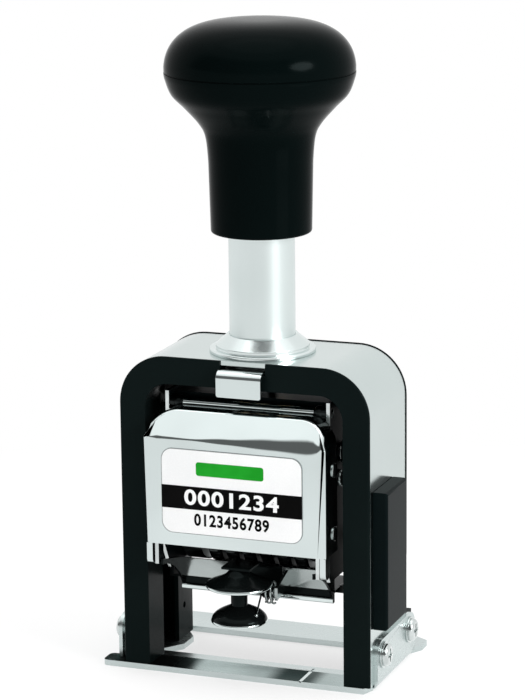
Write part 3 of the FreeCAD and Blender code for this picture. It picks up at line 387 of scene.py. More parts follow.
satinLook = {"colourA": (0.67, 0.74, 0.73), "colourB": (0.72, 0.785, 0.78),
             "cloudScale": 40, "grainScale": 700, "stretch": (1, 1, 0.05),
             "roughLow": 0.32, "roughHigh": 0.42, "bump": 0.08, "depth": 0.00002}
collarLook = {"colourA": (0.66, 0.73, 0.72), "colourB": (0.72, 0.785, 0.78),
              "cloudScale": 60, "grainScale": 900, "stretch": (1, 1, 0.3),
              "roughLow": 0.20, "roughHigh": 0.28, "bump": 0.05, "depth": 0.00001}
zincLook = {"colourA": (0.56, 0.60, 0.595), "colourB": (0.70, 0.745, 0.74),
            "cloudScale": 300, "grainScale": 1500, "stretch": (1, 1, 1),
            "roughLow": 0.12, "roughHigh": 0.24, "bump": 0.05, "depth": 0.00001}
steelLook = {"colourA": (0.10, 0.115, 0.115), "colourB": (0.16, 0.18, 0.18),
             "cloudScale": 120, "grainScale": 1200, "stretch": (1, 1, 0.1),
             "roughLow": 0.22, "roughHigh": 0.38, "bump": 0.06, "depth": 0.00001}
dialLook = {"colourA": (0.30, 0.34, 0.335), "colourB": (0.40, 0.44, 0.435),
            "cloudScale": 120, "grainScale": 1400, "stretch": (0.1, 1, 1),
            "roughLow": 0.16, "roughHigh": 0.28, "bump": 0.05, "depth": 0.00001}
rodLook = {"colourA": (0.54, 0.59, 0.585), "colourB": (0.62, 0.67, 0.665),
           "cloudScale": 90, "grainScale": 900, "stretch": (0.08, 1, 0.08),
           "roughLow": 0.12, "roughHigh": 0.22, "bump": 0.04, "depth": 0.00001}
darkLook = {"colourA": (0.018, 0.022, 0.022), "colourB": (0.03, 0.035, 0.035),
            "cloudScale": 150, "grainScale": 1300, "stretch": (1, 1, 1),
            "roughLow": 0.25, "roughHigh": 0.38, "bump": 0.06, "depth": 0.00001}
wheelLook = {"colourA": (0.012, 0.014, 0.014), "colourB": (0.05, 0.056, 0.056),
             "cloudScale": 500, "grainScale": 1600, "stretch": (1, 1, 1),
             "roughLow": 0.25, "roughHigh": 0.45, "bump": 0.08, "depth": 0.00002}
brassLook = {"colourA": (0.60, 0.42, 0.18), "colourB": (0.72, 0.54, 0.26),
             "cloudScale": 90, "grainScale": 900, "stretch": (1, 1, 0.1),
             "roughLow": 0.16, "roughHigh": 0.28, "bump": 0.04, "depth": 0.00001}
frameLook = {"colourA": (0.0034, 0.0064, 0.0064), "colourB": (0.0042, 0.0076, 0.0075),
             "cloudScale": 45, "grainScale": 2200, "ior": 1.10,
             "roughLow": 0.24, "roughHigh": 0.34, "bump": 0.04, "depth": 0.00001}
blockLook = {"colourA": (0.0020, 0.0044, 0.0048), "colourB": (0.0026, 0.0054, 0.0058),
             "cloudScale": 60, "grainScale": 1800, "ior": 1.10,
             "roughLow": 0.26, "roughHigh": 0.36, "bump": 0.05, "depth": 0.00001}
handleLook = {"colourA": (0.0010, 0.0026, 0.0026), "colourB": (0.0014, 0.0032, 0.0032),
              "cloudScale": 30, "grainScale": 1200, "ior": 1.078,
              "roughLow": 0.13, "roughHigh": 0.18, "bump": 0.01, "depth": 0.00001}
knobLook = {"colourA": (0.002, 0.003, 0.003), "colourB": (0.004, 0.005, 0.005),
            "cloudScale": 80, "grainScale": 1800, "ior": 1.16,
            "roughLow": 0.14, "roughHigh": 0.22, "bump": 0.03, "depth": 0.00001}
nylonLook = {"colourA": (0.010, 0.010, 0.010), "colourB": (0.016, 0.016, 0.016),
             "cloudScale": 80, "grainScale": 1800, "tint": plainTint, "ior": 1.3,
             "roughLow": 0.4, "roughHigh": 0.5, "bump": 0.05, "depth": 0.00001}
feltLook = {"colourA": (0.006, 0.006, 0.008), "colourB": (0.014, 0.014, 0.017),
            "cloudScale": 500, "grainScale": 3500, "tint": plainTint, "ior": 1.2,
            "roughLow": 0.8, "roughHigh": 1.0, "bump": 0.6, "depth": 0.00008}
labelLook = {"colourA": (0.88, 0.89, 0.89), "colourB": (0.93, 0.935, 0.935),
             "cloudScale": 50, "grainScale": 2500, "tint": plainTint, "ior": 1.3,
             "roughLow": 0.22, "roughHigh": 0.32, "bump": 0.02, "depth": 0.00001}
inkLook = {"colourA": (0.0010, 0.0010, 0.0010), "colourB": (0.0020, 0.0020, 0.0020),
           "cloudScale": 200, "grainScale": 2500, "tint": plainTint, "ior": 1.12,
           "roughLow": 0.3, "roughHigh": 0.4, "bump": 0.02, "depth": 0.00001}
greyLook = {"colourA": (0.22, 0.24, 0.24), "colourB": (0.28, 0.30, 0.30),
            "cloudScale": 200, "grainScale": 2500, "ior": 1.15,
            "roughLow": 0.3, "roughHigh": 0.4, "bump": 0.02, "depth": 0.00001}
greenLook = {"colourA": (0.010, 0.30, 0.016), "colourB": (0.014, 0.35, 0.022),
             "cloudScale": 200, "grainScale": 2500, "ior": 1.15,
             "roughLow": 0.25, "roughHigh": 0.35, "bump": 0.02, "depth": 0.00001}

chrome = metalMaterial("platedChrome", chromeLook)
bandChrome = metalMaterial("bandChrome", bandLook)
plateChrome = metalMaterial("plateChrome", plateLook)
collarMetal = metalMaterial("collarNickel", collarLook)
trayChrome = metalMaterial("trayChrome", trayLook)
satin = metalMaterial("satinNickel", satinLook)
zinc = metalMaterial("zincPlate", zincLook)
steel = metalMaterial("oiledSteel", steelLook)
dialSteel = metalMaterial("turnedSteel", dialLook)
groundSteel = metalMaterial("groundSteel", rodLook)
blackOxide = metalMaterial("blackOxide", darkLook)
wheelMetal = metalMaterial("inkedWheel", wheelLook)
brass = metalMaterial("turnedBrass", brassLook)
blackFrame = plasticMaterial("frameBlack", frameLook)
blockBlack = plasticMaterial("blockBlack", blockLook)
handleBlack = plasticMaterial("handleGloss", handleLook)
knobBlack = plasticMaterial("knobBlack", knobLook)
nylon = plasticMaterial("blackNylon", nylonLook)
felt = plasticMaterial("inkedFelt", feltLook)
labelFilm = plasticMaterial("labelFilm", labelLook)
printBlack = plasticMaterial("printBlack", inkLook)
printGreen = plasticMaterial("printGreen", greenLook)
printGrey = plasticMaterial("printGrey", greyLook)

# Painted reflection: the front bar's top is darkened in two soft bands along its length,
# in its colour and specular tint, in place of reflections; each tone with its place from the axis in mm
barReflectionTones = [(-23, 0.12), (-18, 0.22), (-13.5, 0.66), (-7, 0.66), (4, 0.56), (10, 0.21), (17, 0.21),
            (21.5, 0.60), (28, 0.64)]


# A ramp along the bar paints the reflection bands into the base colour and the specular tint
def barReflectionMaterial(tones):
    material = metalMaterial("barPaintedReflection", plateLook)
    nodes = material.node_tree.nodes
    links = material.node_tree.links
    shader = nodes["Principled BSDF"]
    split = nodes.new("ShaderNodeSeparateXYZ")
    links.new(nodes["Texture Coordinate"].outputs["Object"], split.inputs["Vector"])
    first, last = tones[0][0], tones[-1][0]
    along = addRange(nodes, links, split.outputs["X"], 0, 1, axisX + first * mm, axisX + last * mm)
    ramp = nodes.new("ShaderNodeValToRGB")
    ramp.color_ramp.interpolation = "EASE"
    for place, tone in tones[1:-1]:
        ramp.color_ramp.elements.new((place - first) / (last - first))
    for element, (place, tone) in zip(ramp.color_ramp.elements, tones):
        element.color = (tone * 0.9, tone, tone * 0.99, 1)
    links.new(along, ramp.inputs["Fac"])
    links.new(ramp.outputs["Color"], shader.inputs["Base Color"])
    links.new(ramp.outputs["Color"], shader.inputs["Specular Tint"])
    return material


barPaintedReflection = barReflectionMaterial(barReflectionTones)
print("materials ready")

finishes = {
    "black_frame": blackFrame, "handle_black": handleBlack, "knob_black": knobBlack, "chrome": chrome,
    "satin_tube": satin, "bright_screw": zinc, "carriage_steel": steel, "rod_steel": groundSteel,
    "dark_steel": blackOxide, "dial_steel": dialSteel, "wheel_metal": wheelMetal, "bush_brass": brass,
    "shoe_nylon": nylon, "spring_steel": zinc, "label_white": labelFilm, "ink_felt": felt,
}


# Handle: body and cap turned from their profiles

handleShape = {"radius": 25.0, "neck": 13.3, "neckTop": 13.7, "neckHeight": 17.9, "neckBend": 1.2,
               "skirt": 0.7, "edge": 0.7, "bore": 8.84, "boreDepth": 17.5, "bellyHeight": 23.7,
               "belly": [(0.575, 0.28), (0.644, 0.43), (0.792, 0.607), (0.924, 0.751), (0.988, 0.92)],
               "bellyStart": (0.35, 5.5), "bellyEnd": (0.15, 1.8), "groove": 0.3, "joint": 12.0,
               "domeHeight": 13.4, "domeIn": 0.6, "domeUp": 0.9, "domeTop": 0.5, "around": 128}


def makeHandle(shape):
    low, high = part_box("handle_body")
    bottom = low.z / mm
    neckTop = bottom + shape["neckHeight"]
    seam = neckTop + shape["bellyHeight"]
    bottom -= shape["skirt"]
    radius, edge, groove = shape["radius"], shape["edge"], shape["groove"]
    profile = [(shape["bore"], neckTop + shape["boreDepth"]), (shape["bore"], bottom),
               (shape["neck"] - edge, bottom)]
    for k in range(1, 5):
        angle = math.radians(k * 22.5)
        profile.append((shape["neck"] - edge + edge * math.sin(angle), bottom + edge - edge * math.cos(angle)))
    profile.append((shape["neckTop"] - 0.03, neckTop - shape["neckBend"]))
    belly = [(shape["neckTop"], neckTop)]
    belly += [(radius * r, neckTop + shape["bellyHeight"] * z) for r, z in shape["belly"]]
    belly.append((radius, seam))
    profile += smoothProfile(belly, 7, startSlope=shape["bellyStart"], endSlope=shape["bellyEnd"])[:-1]
    profile += [(radius - 0.02, seam - groove), (radius - groove, seam - groove), (radius - groove, seam),
                (shape["joint"], seam)]
    body = turnPiece("handleBodyTurned", profile, shape["around"])
    capProfile = [(shape["joint"], seam), (radius - 0.25, seam), (radius - 0.06, seam + 0.1)]
    for k in range(2, 44):
        angle = math.radians(2 * k)
        capProfile.append((radius * math.cos(angle) ** shape["domeIn"],
                           seam + shape["domeHeight"] * math.sin(angle) ** shape["domeUp"]))
    capProfile.append((shape["domeTop"], seam + shape["domeHeight"]))
    cap = turnPiece("handleCapTurned", capProfile, shape["around"])
    for piece, node in ((body, "handle_body"), (cap, "handle_cap")):
        placePiece(piece, (axisX, axisY, 0))
        smoothPiece(piece, 32)
        finishPiece(piece, "plunger", "handle_black", handleBlack, node)


makeHandle(handleShape)
print("handle turned")


# Front cover: one pressed sheet with a slanting roof. Its fold is crisp at the
# left and soft at the right: foldShares gives the fold's share of its full
# rounding, by place from the middle (-1 left end, 1 right end).

coverShape = {"corner": 8.0, "cornerSteps": 18, "foldDrop": 6.9, "slope": 5.2, "sheet": 0.8, "rim": 0.8,
              "lean": 0.6, "earDrop": 5.9, "earWidth": 1.6, "earDepth": 3.4, "earRound": 1.6,
              "fold": 3.2, "foldBack": 2.6, "columns": 30, "margin": 2.2,
              "foldShares": [(-0.92, 0.3), (-0.8, 0.18), (-0.5, 0.12), (-0.1, 0.4), (0.4, 0.75),
                             (0.8, 1.0), (0.86, 0.9), (0.92, 0.5)]}


def shareAt(table, place):
    for (x0, y0), (x1, y1) in zip(table, table[1:]):
        if place <= x1:
            t = (place - x0) / (x1 - x0)
            t = t * t * (3 - 2 * t)
            return y0 + (y1 - y0) * t
    return table[-1][1]


def makeCover(shape):
    low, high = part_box("front_cover")
    front, back, top = low.y, high.y, high.z
    bottom = low.z + shape["earDrop"] * mm
    fold = top - shape["foldDrop"] * mm
    half = (high.x - low.x) / 2
    cover = boxPiece("frontCoverSheet", (low.x, front, bottom), (high.x, back, top))
    roundEdges(cover, lambda a, b: near(a.z, top) and near(b.z, top) and near(a.x, b.x),
               shape["corner"], shape["cornerSteps"])
    pickAll(cover)
    normal = Vector((0, -shape["foldDrop"], shape["slope"])).normalized()
    bpy.ops.mesh.bisect(plane_co=(axisX, front, fold), plane_no=normal, use_fill=True, clear_outer=True,
                        threshold=tiny)
    leaveEdit()
    pickFaces(cover, lambda c, n: n.y > 0.9 or n.z < -0.9)
    bpy.ops.mesh.delete(type="FACE")
    leaveEdit()
    straight = half - shape["margin"] * mm
    for k in range(shape["columns"] + 1):
        x = axisX - straight + 2 * straight * k / shape["columns"]
        cutAcross(cover, (x, front, fold), (1, 0, 0))
    roundEdges(cover, lambda a, b: near(a.z, fold) and near(b.z, fold) and near(a.y, front) and near(b.y, front)
               and max(abs(a.x - axisX), abs(b.x - axisX)) < straight + 0.01 * mm, shape["fold"], 8)
    reach = (shape["fold"] + 0.1) * mm
    places = sorted({round(p.co.x / mm, 2) for p in cover.data.vertices
                     if abs(p.co.z - fold) < 0.7 * reach and abs(p.co.y - front) < 0.7 * reach
                     and not near(p.co.z, fold)})
    for place in places:
        share = shareAt(shape["foldShares"], (place * mm - axisX) / half)
        pickPoints(cover, lambda c: near(c.x, place * mm, 0.02) and c.y < front + shape["foldBack"] * mm
                   and (c - Vector((c.x, front, fold))).length < reach)
        bpy.ops.transform.resize(value=(1, share, share), center_override=(place * mm, front, fold))
        leaveEdit()
    for point in cover.data.vertices:  # the left side leans out a little towards the fold
        rise = min(1.0, max(0.0, (point.co.z - bottom) / (fold - bottom)))
        share = (axisX - point.co.x) / half
        if share > 0.5:
            point.co.x -= shape["lean"] * mm * rise * (share - 0.5) * 2
    clearPick(cover, "EDGE")
    bpy.ops.object.mode_set(mode="EDIT")
    bpy.ops.mesh.edges_select_sharp(sharpness=math.radians(48))
    bpy.ops.mesh.bevel(offset=shape["rim"] * mm, segments=5, affect="EDGES")
    leaveEdit()
    wall = cover.modifiers.new("wall", "SOLIDIFY")
    wall.thickness = shape["sheet"] * mm
    wall.offset = -1
    applyModifiers(cover)
    ears = []
    for side in (-1, 1):
        outer = axisX + side * half
        inner = outer - side * shape["earWidth"] * mm
        ear = boxPiece("coverEar", (min(outer, inner), front, low.z),
                       (max(outer, inner), front + shape["earDepth"] * mm, bottom))
        roundEdges(ear, lambda a, b: near(a.z, low.z) and near(b.z, low.z) and near(a.y, b.y),
                   shape["earRound"], 8)
        ears.append(ear)
    joinPieces(cover, ears)
    smoothPiece(cover, 40)
    finishPiece(cover, "plunger", "chrome", chrome, "front_cover")


makeCover(coverShape)
print("cover pressed")


# Label: a film with a printed outline, a black band, plain figures and a green
# stripe. Heights and sides are shares of the label's, the rest is in mm.

labelShape = {"outline": 0.16, "outlineDepth": 0.9, "proud": 0.04, "bandLow": 0.294, "bandHigh": 0.565,
              "bandDigits": "0001234", "bandSize": 5.6, "bandWide": 1.22, "bandWeight": 0.16,
              "lowDigits": "0123456789", "lowSize": 4.4, "lowWide": 0.86, "lowWeight": 0.14, "lowPlace": 0.58,
              "stripeLow": 0.70, "stripeHigh": 0.86, "stripeLeft": 0.25, "stripeRight": 0.73,
              "stripeRound": 0.7, "spacing": 1.12}


def flatFigures(name, text, size, width, place, weight):
    pickNothing()
    bpy.ops.object.text_add(location=(0, 0, 0))
    obj = bpy.context.object
    obj.name = name
    obj.data.body = text
    obj.data.align_x = "CENTER"
    obj.data.align_y = "CENTER"
    obj.data.size = size * mm
    obj.data.offset = weight * mm
    obj.data.space_character = labelShape["spacing"]
    obj.data.resolution_u = 6
    pickOnly(obj)
    bpy.ops.object.convert(target="MESH")
    obj = bpy.context.object
    obj.scale = (width, 1, 1)
    placePiece(obj, place, (90, 0, 0))
    return obj


def makeLabel(shape):
    low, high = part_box("label_plate")
    width, height = high.x - low.x, high.z - low.z
    card = copyNode("label_plate", 0.06 * mm, 2)
    middle = Vector(((low.x + high.x) / 2, high.y, (low.z + high.z) / 2))
    shrink = 2 * shape["outline"] * mm
    stretchPiece(card, (1 - shrink / width, 1, 1 - shrink / height), middle)
    finishPiece(card, "plunger", "label_white", labelFilm, "label_plate")
    outline = copyNode("label_plate", 0)
    stretchPiece(outline, (1, shape["outlineDepth"], 1), middle)
    finishPiece(outline, "plunger", "label_white", printGrey)
    proud = shape["proud"] * mm
    band = boxPiece("labelBand", (low.x, low.y - proud, low.z + height * shape["bandLow"]),
                    (high.x, low.y + proud, low.z + height * shape["bandHigh"]))
    stripe = boxPiece("labelStripe", (low.x + width * shape["stripeLeft"], low.y - proud,
                                      low.z + height * shape["stripeLow"]),
                      (low.x + width * shape["stripeRight"], low.y + proud, low.z + height * shape["stripeHigh"]))
    roundEdges(stripe, lambda a, b: near(a.x, b.x) and near(a.z, b.z), shape["stripeRound"], 5)
    finishPiece(band, "plunger", "label_white", printBlack)
    finishPiece(stripe, "plunger", "label_white", printGreen)
    bandMiddle = low.z + height * (shape["bandLow"] + shape["bandHigh"]) / 2
    lowMiddle = low.z + height * shape["bandLow"] * shape["lowPlace"]
    figures = flatFigures("labelFiguresWhite", shape["bandDigits"], shape["bandSize"], shape["bandWide"],
                          (middle.x, low.y - 2 * proud, bandMiddle), shape["bandWeight"])
    finishPiece(figures, "plunger", "label_white", labelFilm)
    figures = flatFigures("labelFiguresBlack", shape["lowDigits"], shape["lowSize"], shape["lowWide"],
                          (middle.x, low.y - proud, lowMiddle), shape["lowWeight"])
    finishPiece(figures, "plunger", "label_white", printBlack)


makeLabel(labelShape)
print("label printed")


# Screws at the cover's sides, with a dished head

coverScrewShape = {"shank": 1.2, "reach": 3.0, "collar": 2.1, "collarStart": 2.0, "sheet": 0.8, "gap": 0.05,
                   "head": [(1.0, 0.0), (1.0, 0.25), (0.9, 0.38), (0.62, 0.47), (0.3, 0.5)],
                   "headRadius": 1.9, "dishEdge": 0.15, "dishDepth": 0.18}


def makeCoverScrews(shape):
    low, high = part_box("cover_screws")
    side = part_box("front_cover")[1].x
    middleY = (low.y + high.y) / 2
    shank, collar = shape["shank"], shape["collar"]
    inside = -shape["sheet"] - shape["gap"]
    profile = [(shank, -shape["reach"]), (shank, -shape["collarStart"]), (collar, -shape["collarStart"]),
               (collar, inside), (shank, inside), (shank, 0.0)]
    profile += [(shape["headRadius"] * share, height) for share, height in shape["head"]]
    screws = []
    for height in (low.z + collar * mm, high.z - collar * mm):
        screw = turnPiece("coverScrew", profile, 40)
        pickFaces(screw, lambda c, n: n.z > 0.5 and c.z > 0.4 * mm)
        bpy.ops.mesh.inset(thickness=shape["dishEdge"] * mm, depth=-shape["dishDepth"] * mm)
        leaveEdit()
        placePiece(screw, (side, middleY, height), (0, 90, 0))
        smoothPiece(screw, 30)
        screws.append(screw)
        screws.append(mirrorCopy(screw, "coverScrewLeft"))
    screw = joinPieces(screws[0], screws[1:])
    finishPiece(screw, "plunger", "bright_screw", dialSteel, "cover_screws")


makeCoverScrews(coverScrewShape)
print("cover screws set")


# Ink pad: a felt block, crowned on top and drawn in at its sides

padShape = {"cornerRound": 1.0, "drawIn": 0.28, "crown": 0.4, "cuts": (24, 10, 6), "fill": 0.7}


def makePad(shape):
    low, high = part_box("ink_pad")
    middle = (low + high) / 2
    size = high - low
    pad = boxPiece("inkPadFelt", low, high)
    roundEdges(pad, lambda a, b: near(a.x, b.x) and near(a.y, b.y), shape["cornerRound"], 4)
    for axis, cuts in enumerate(shape["cuts"]):
        for k in range(1, cuts):
            place, normal = Vector(), Vector()
            place[axis] = low[axis] + size[axis] * k / cuts
            normal[axis] = 1
            cutAcross(pad, place, normal)
    for point in pad.data.vertices:
        u = (point.co.x - middle.x) / (size.x / 2)
        v = (point.co.y - middle.y) / (size.y / 2)
        t = (point.co.z - low.z) / size.z
        rise = max(0.0, (1 - abs(u) ** 6) * (1 - abs(v) ** 4))
        point.co.z -= shape["crown"] * mm * t * (1 - rise)
        waist = math.sin(math.pi * t) * shape["drawIn"] * mm
        point.co.x -= waist * u * abs(u) ** 8
        point.co.y -= waist * v * abs(v) ** 4
    fixNormals(pad)
    soft = pad.modifiers.new("soft", "SUBSURF")
    soft.levels = 1
    soft.render_levels = 1
    applyModifiers(pad)
    pickOnly(pad)
    bpy.ops.object.shade_smooth()
    finishPiece(pad, "pad_cartridge", "ink_felt", felt, "ink_pad")


makePad(padShape)
print("pad cut")


# Knob: a flared bell above a rounded mushroom on one neck, each with a bright
# rim. flare and cap give a radius in mm and the share of the drop to the rim.

knobShape = {"topRadius": 2.4, "topEdge": 0.3, "neck": 2.2, "bell": 8.8, "bellDepth": 0.9, "mushroom": 7.5,
             "mushroomDepth": 1.15, "capHeight": 3.7, "rim": 0.35, "rimStretch": 1.25,
             "flare": [(2.9, 0.22), (3.8, 0.44), (5.9, 0.72), (7.7, 0.9)],
             "cap": [(3.8, 0.20), (5.8, 0.48), (7.0, 0.78)]}


def makeKnob(shape):
    low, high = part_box("pad_knob")
    rimsLow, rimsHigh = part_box("knob_rims")
    place = ((low.x + high.x) / 2, (low.y + high.y) / 2, 0)
    top = high.z / mm
    rimTop = rimsHigh.z / mm
    bottom = rimsLow.z / mm
    bellHeight = top - rimTop
    underBell = rimTop - shape["bellDepth"]
    capRim = bottom + shape["mushroomDepth"]
    capTop = capRim + shape["capHeight"]
    neck, bell, mushroom, topEdge = shape["neck"], shape["bell"], shape["mushroom"], shape["topEdge"]
    profile = [(1.0, top), (shape["topRadius"] - topEdge, top), (shape["topRadius"], top - topEdge)]
    flare = [(shape["topRadius"], top - topEdge)]
    flare += [(r, top - bellHeight * drop) for r, drop in shape["flare"]]
    flare.append((bell - 0.12, rimTop - 0.05))
    profile += smoothProfile(flare, 5)[1:]
    profile += [(bell - 0.5, underBell), (neck + 1.2, underBell - 0.5), (neck, underBell - 1.1),
                (neck, capTop + 0.6)]
    cap = [(neck, capTop)]
    cap += [(r, capTop - (capTop - capRim) * drop) for r, drop in shape["cap"]]
    cap.append((mushroom - 0.1, capRim - 0.1))
    profile += smoothProfile(cap, 5)
    profile += [(mushroom - 0.4, capRim - 0.6), (mushroom - 0.9, bottom + 0.1), (2.0, bottom + 0.1)]
    knob = turnPiece("knobTurned", profile, 96)
    placePiece(knob, place)
    smoothPiece(knob, 40)
    finishPiece(knob, "pad_cartridge", "knob_black", knobBlack, "pad_knob")
    rims = []
    rim = shape["rim"]
    for radius, height in ((bell, rimTop - 0.05), (mushroom, capRim - 0.1)):
        pickNothing()
        bpy.ops.mesh.primitive_torus_add(major_radius=(radius - rim) * mm, minor_radius=rim * mm,
                                         major_segments=96, minor_segments=14, location=(0, 0, 0))
        ring = bpy.context.object
        ring.name = "knobRim"
        stretchPiece(ring, (1, 1, shape["rimStretch"]), (0, 0, 0))
        placePiece(ring, (place[0], place[1], (height - rim) * mm))
        rims.append(ring)
    ring = joinPieces(rims[0], rims[1:])
    pickOnly(ring)
    bpy.ops.object.shade_smooth()
    finishPiece(ring, "pad_cartridge", slotOf["knob_rims"], chrome, "knob_rims")


makeKnob(knobShape)
print("knob turned")


# Pad holder: a tray in a darker chrome with black cheeks, black from a little in front of the axis backwards, its
# bottom lip in the lighter plated chrome as a painted highlight, and its middle black as painted shade behind the
# knob

holderShape = {"edge": 0.1, "middleHalf": 7.0, "middleRise": 2.0, "cheek": 0.65, "inside": 5.0, "lip": 1.4}


def makeHolder(shape):
    low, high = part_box("pad_holder")
    holder = copyNode("pad_holder", shape["edge"] * mm)
    middleHalf = shape["middleHalf"] * mm
    for side in (-1, 1):
        cutAcross(holder, (axisX + side * middleHalf, 0, 0), (1, 0, 0))
    finishPiece(holder, "pad_cartridge", "chrome", trayChrome, "pad_holder")
    holder.data.materials.append(knobBlack)
    holder.data.materials.append(chrome)
    half = (high.x - low.x) / 2
    for face in holder.data.polygons:
        sideways = abs(face.center.x - axisX)
        cheek = sideways > half - shape["cheek"] * mm
        # painted shade: the middle above the lip is black where the tray lies in shade behind the knob
        middle = sideways < middleHalf and face.center.z > low.z + shape["middleRise"] * mm
        inside = face.center.y > axisY - shape["inside"] * mm
        if cheek or middle or inside:
            face.material_index = 1
        # painted highlight: the bottom lip gets the lighter plated chrome of the same sheet
        elif face.center.z < low.z + shape["lip"] * mm:
            face.material_index = 2


makeHolder(holderShape)
print("holder dressed")


# The other CAD pieces keep their shape and get eased edges, in mm. The coiled
# ones stay as they are.

dressShape = {"edge": 0.08, "edges": {"base_plate": 0.3, "outer_band": 0.2, "front_frame": 0.3, "rear_frame": 0.3,
                                      "side_block": 0.25, "collar": 0.15, "latch_tab": 0.25, "base_screws": 0.12},
              "coils": {"return_spring", "arm_springs", "knob_spring"}}
done = {"handle_body", "handle_cap", "front_cover", "label_plate", "cover_screws", "ink_pad", "pad_holder",
        "pad_knob", "knob_rims"}
ownFinish = {"outer_band": bandChrome, "base_plate": plateChrome, "collar": collarMetal, "side_block": blockBlack,
             "back_plate": blockBlack, "side_plate_left": blockBlack, "side_plate_right": blockBlack,
             "carriage_bridge": blockBlack, "latch_guide": blockBlack, "cross_rod_nuts": blackOxide,
             "knob_spring": dialSteel, "spring_tail": dialSteel}


# Gives a second material to the faces that pass the test
def paintFaces(piece, material, wanted):
    piece.data.materials.append(material)
    for face in piece.data.polygons:
        if wanted(face.center, face.normal):
            face.material_index = 1


# The plate's front bar: its top with the painted reflection bands, and a thin bright strip raised across it
barShape = {"depth": 8.9, "top": 3.0, "lineLeft": 15.05, "lineRight": 15.95, "lineFront": 0.4, "lineBack": 8.4,
            "lineLow": 1.5, "lineHigh": 1.6}


# Cuts off the bar's front and gives its top faces the painted reflection bands
def paintBarReflections(piece, shape):
    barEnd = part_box("base_plate")[0].y + shape["depth"] * mm
    cutAcross(piece, (0, barEnd, 0), (0, 1, 0))
    paintFaces(piece, barPaintedReflection, lambda c, n: n.z > 0.9 and c.y < barEnd and c.z < shape["top"] * mm)


# Painted shade: the outer band's faces turned to the middle of the arch get the dark black-oxide finish, for the
# shade inside the arch
archMiddle = 45


def paintBandShade(piece):
    paintFaces(piece, blackOxide, lambda c, n: abs(n.y) < 0.3
               and n.dot(c - Vector((axisX, c.y, archMiddle * mm))) < -0.001 * mm)


# The rear frame's outer edge stands a little proud of the band, above the screws
rearShape = {"cuts": (28, 30), "proud": 0.22, "reach": 26, "middle": 52, "shoulder": 60}


def raiseRearEdge(piece, shape):
    for height in shape["cuts"]:
        cutAcross(piece, (0, 0, height * mm), (0, 0, 1))
    pickFaces(piece, lambda c, n: c.z > shape["cuts"][1] * mm and abs(n.y) < 0.2
              and max(abs(c.x - axisX), c.z - shape["middle"] * mm) > shape["reach"] * mm
              and n.x * (c.x - axisX) + n.z * max(0.0, c.z - shape["shoulder"] * mm) > 0.0)
    bpy.ops.transform.shrink_fatten(value=shape["proud"] * mm)
    leaveEdit()


for node in sorted(set(frame["nodes"]) - done):
    if node in dressShape["coils"]:
        piece = copyNode(node, 0, smooth=75)
    else:
        piece = copyNode(node, dressShape["edges"].get(node, dressShape["edge"]) * mm)
    finishPiece(piece, bodyOf[node], slotOf[node], ownFinish.get(node, finishes[slotOf[node]]), node)
    if node == "base_plate":
        paintBarReflections(piece, barShape)
    elif node in ("side_plate_left", "side_plate_right"):
        paintFaces(piece, zinc, lambda c, n: n.y < -0.8)
    elif node == "outer_band":
        paintBandShade(piece)
    elif node == "rear_frame":
        raiseRearEdge(piece, rearShape)
print("CAD pieces dressed")


# A thin bright chrome strip raised across the bar's top, inside its right painted reflection band
def raiseBrightStrip(shape):
    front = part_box("base_plate")[0].y
    low = (axisX + shape["lineLeft"] * mm, front + shape["lineFront"] * mm, shape["lineLow"] * mm)
    high = (axisX + shape["lineRight"] * mm, front + shape["lineBack"] * mm, shape["lineHigh"] * mm)
    line = boxPiece("brightStrip", low, high)
    finishPiece(line, "frame", slotOf["base_plate"], chrome)


raiseBrightStrip(barShape)
print("line marked")


# Stage, lights and camera

stageLook = {"floorColour": (0.97, 0.97, 0.97, 1), "plainNear": 0.62, "plainFrom": 0.11, "plainTo": 0.24,
             "darkStrength": 0.14, "darkFrom": (0.12, 0.2), "darkTo": (0.62, 0.74), "darkSide": (-0.45, -0.15),
             "ceiling": 1.25, "ceilingFrom": (0.70, 0.80), "overhead": 1.6, "overheadFrom": (0.88, 0.94)}


# The floor keeps its shadow near the object and is plain white further out
def addStage(look):
    pickNothing()
    bpy.ops.mesh.primitive_plane_add(size=12, location=(0, 0, 0))
    floor = bpy.context.object
    floor.name = "floor"
    material, nodes, links, shader, coords = newMaterial("paleFloor")
    shader.inputs["Base Color"].default_value = look["floorColour"]
    shader.inputs["Roughness"].default_value = 0.9
    shader.inputs["Specular IOR Level"].default_value = 0.0
    length = nodes.new("ShaderNodeVectorMath")
    length.operation = "LENGTH"
    links.new(coords.outputs["Object"], length.inputs[0])
    far = addRange(nodes, links, length.outputs["Value"], look["plainNear"], 1, look["plainFrom"], look["plainTo"])
    path = nodes.new("ShaderNodeLightPath").outputs
    seen = addMaths(nodes, links, "MAXIMUM", path["Is Camera Ray"], path["Is Glossy Ray"])
    seen = addMaths(nodes, links, "MAXIMUM", seen, path["Is Transmission Ray"])
    share = addMaths(nodes, links, "MULTIPLY", far, seen)
    white = nodes.new("ShaderNodeEmission")
    white.inputs["Color"].default_value = (1, 1, 1, 1)
    mix = nodes.new("ShaderNodeMixShader")
    links.new(share, mix.inputs["Fac"])
    links.new(shader.outputs["BSDF"], mix.inputs[1])
    links.new(white.outputs["Emission"], mix.inputs[2])
    links.new(mix.outputs["Shader"], nodes["Material Output"].inputs["Surface"])
    setMaterial(floor, material)


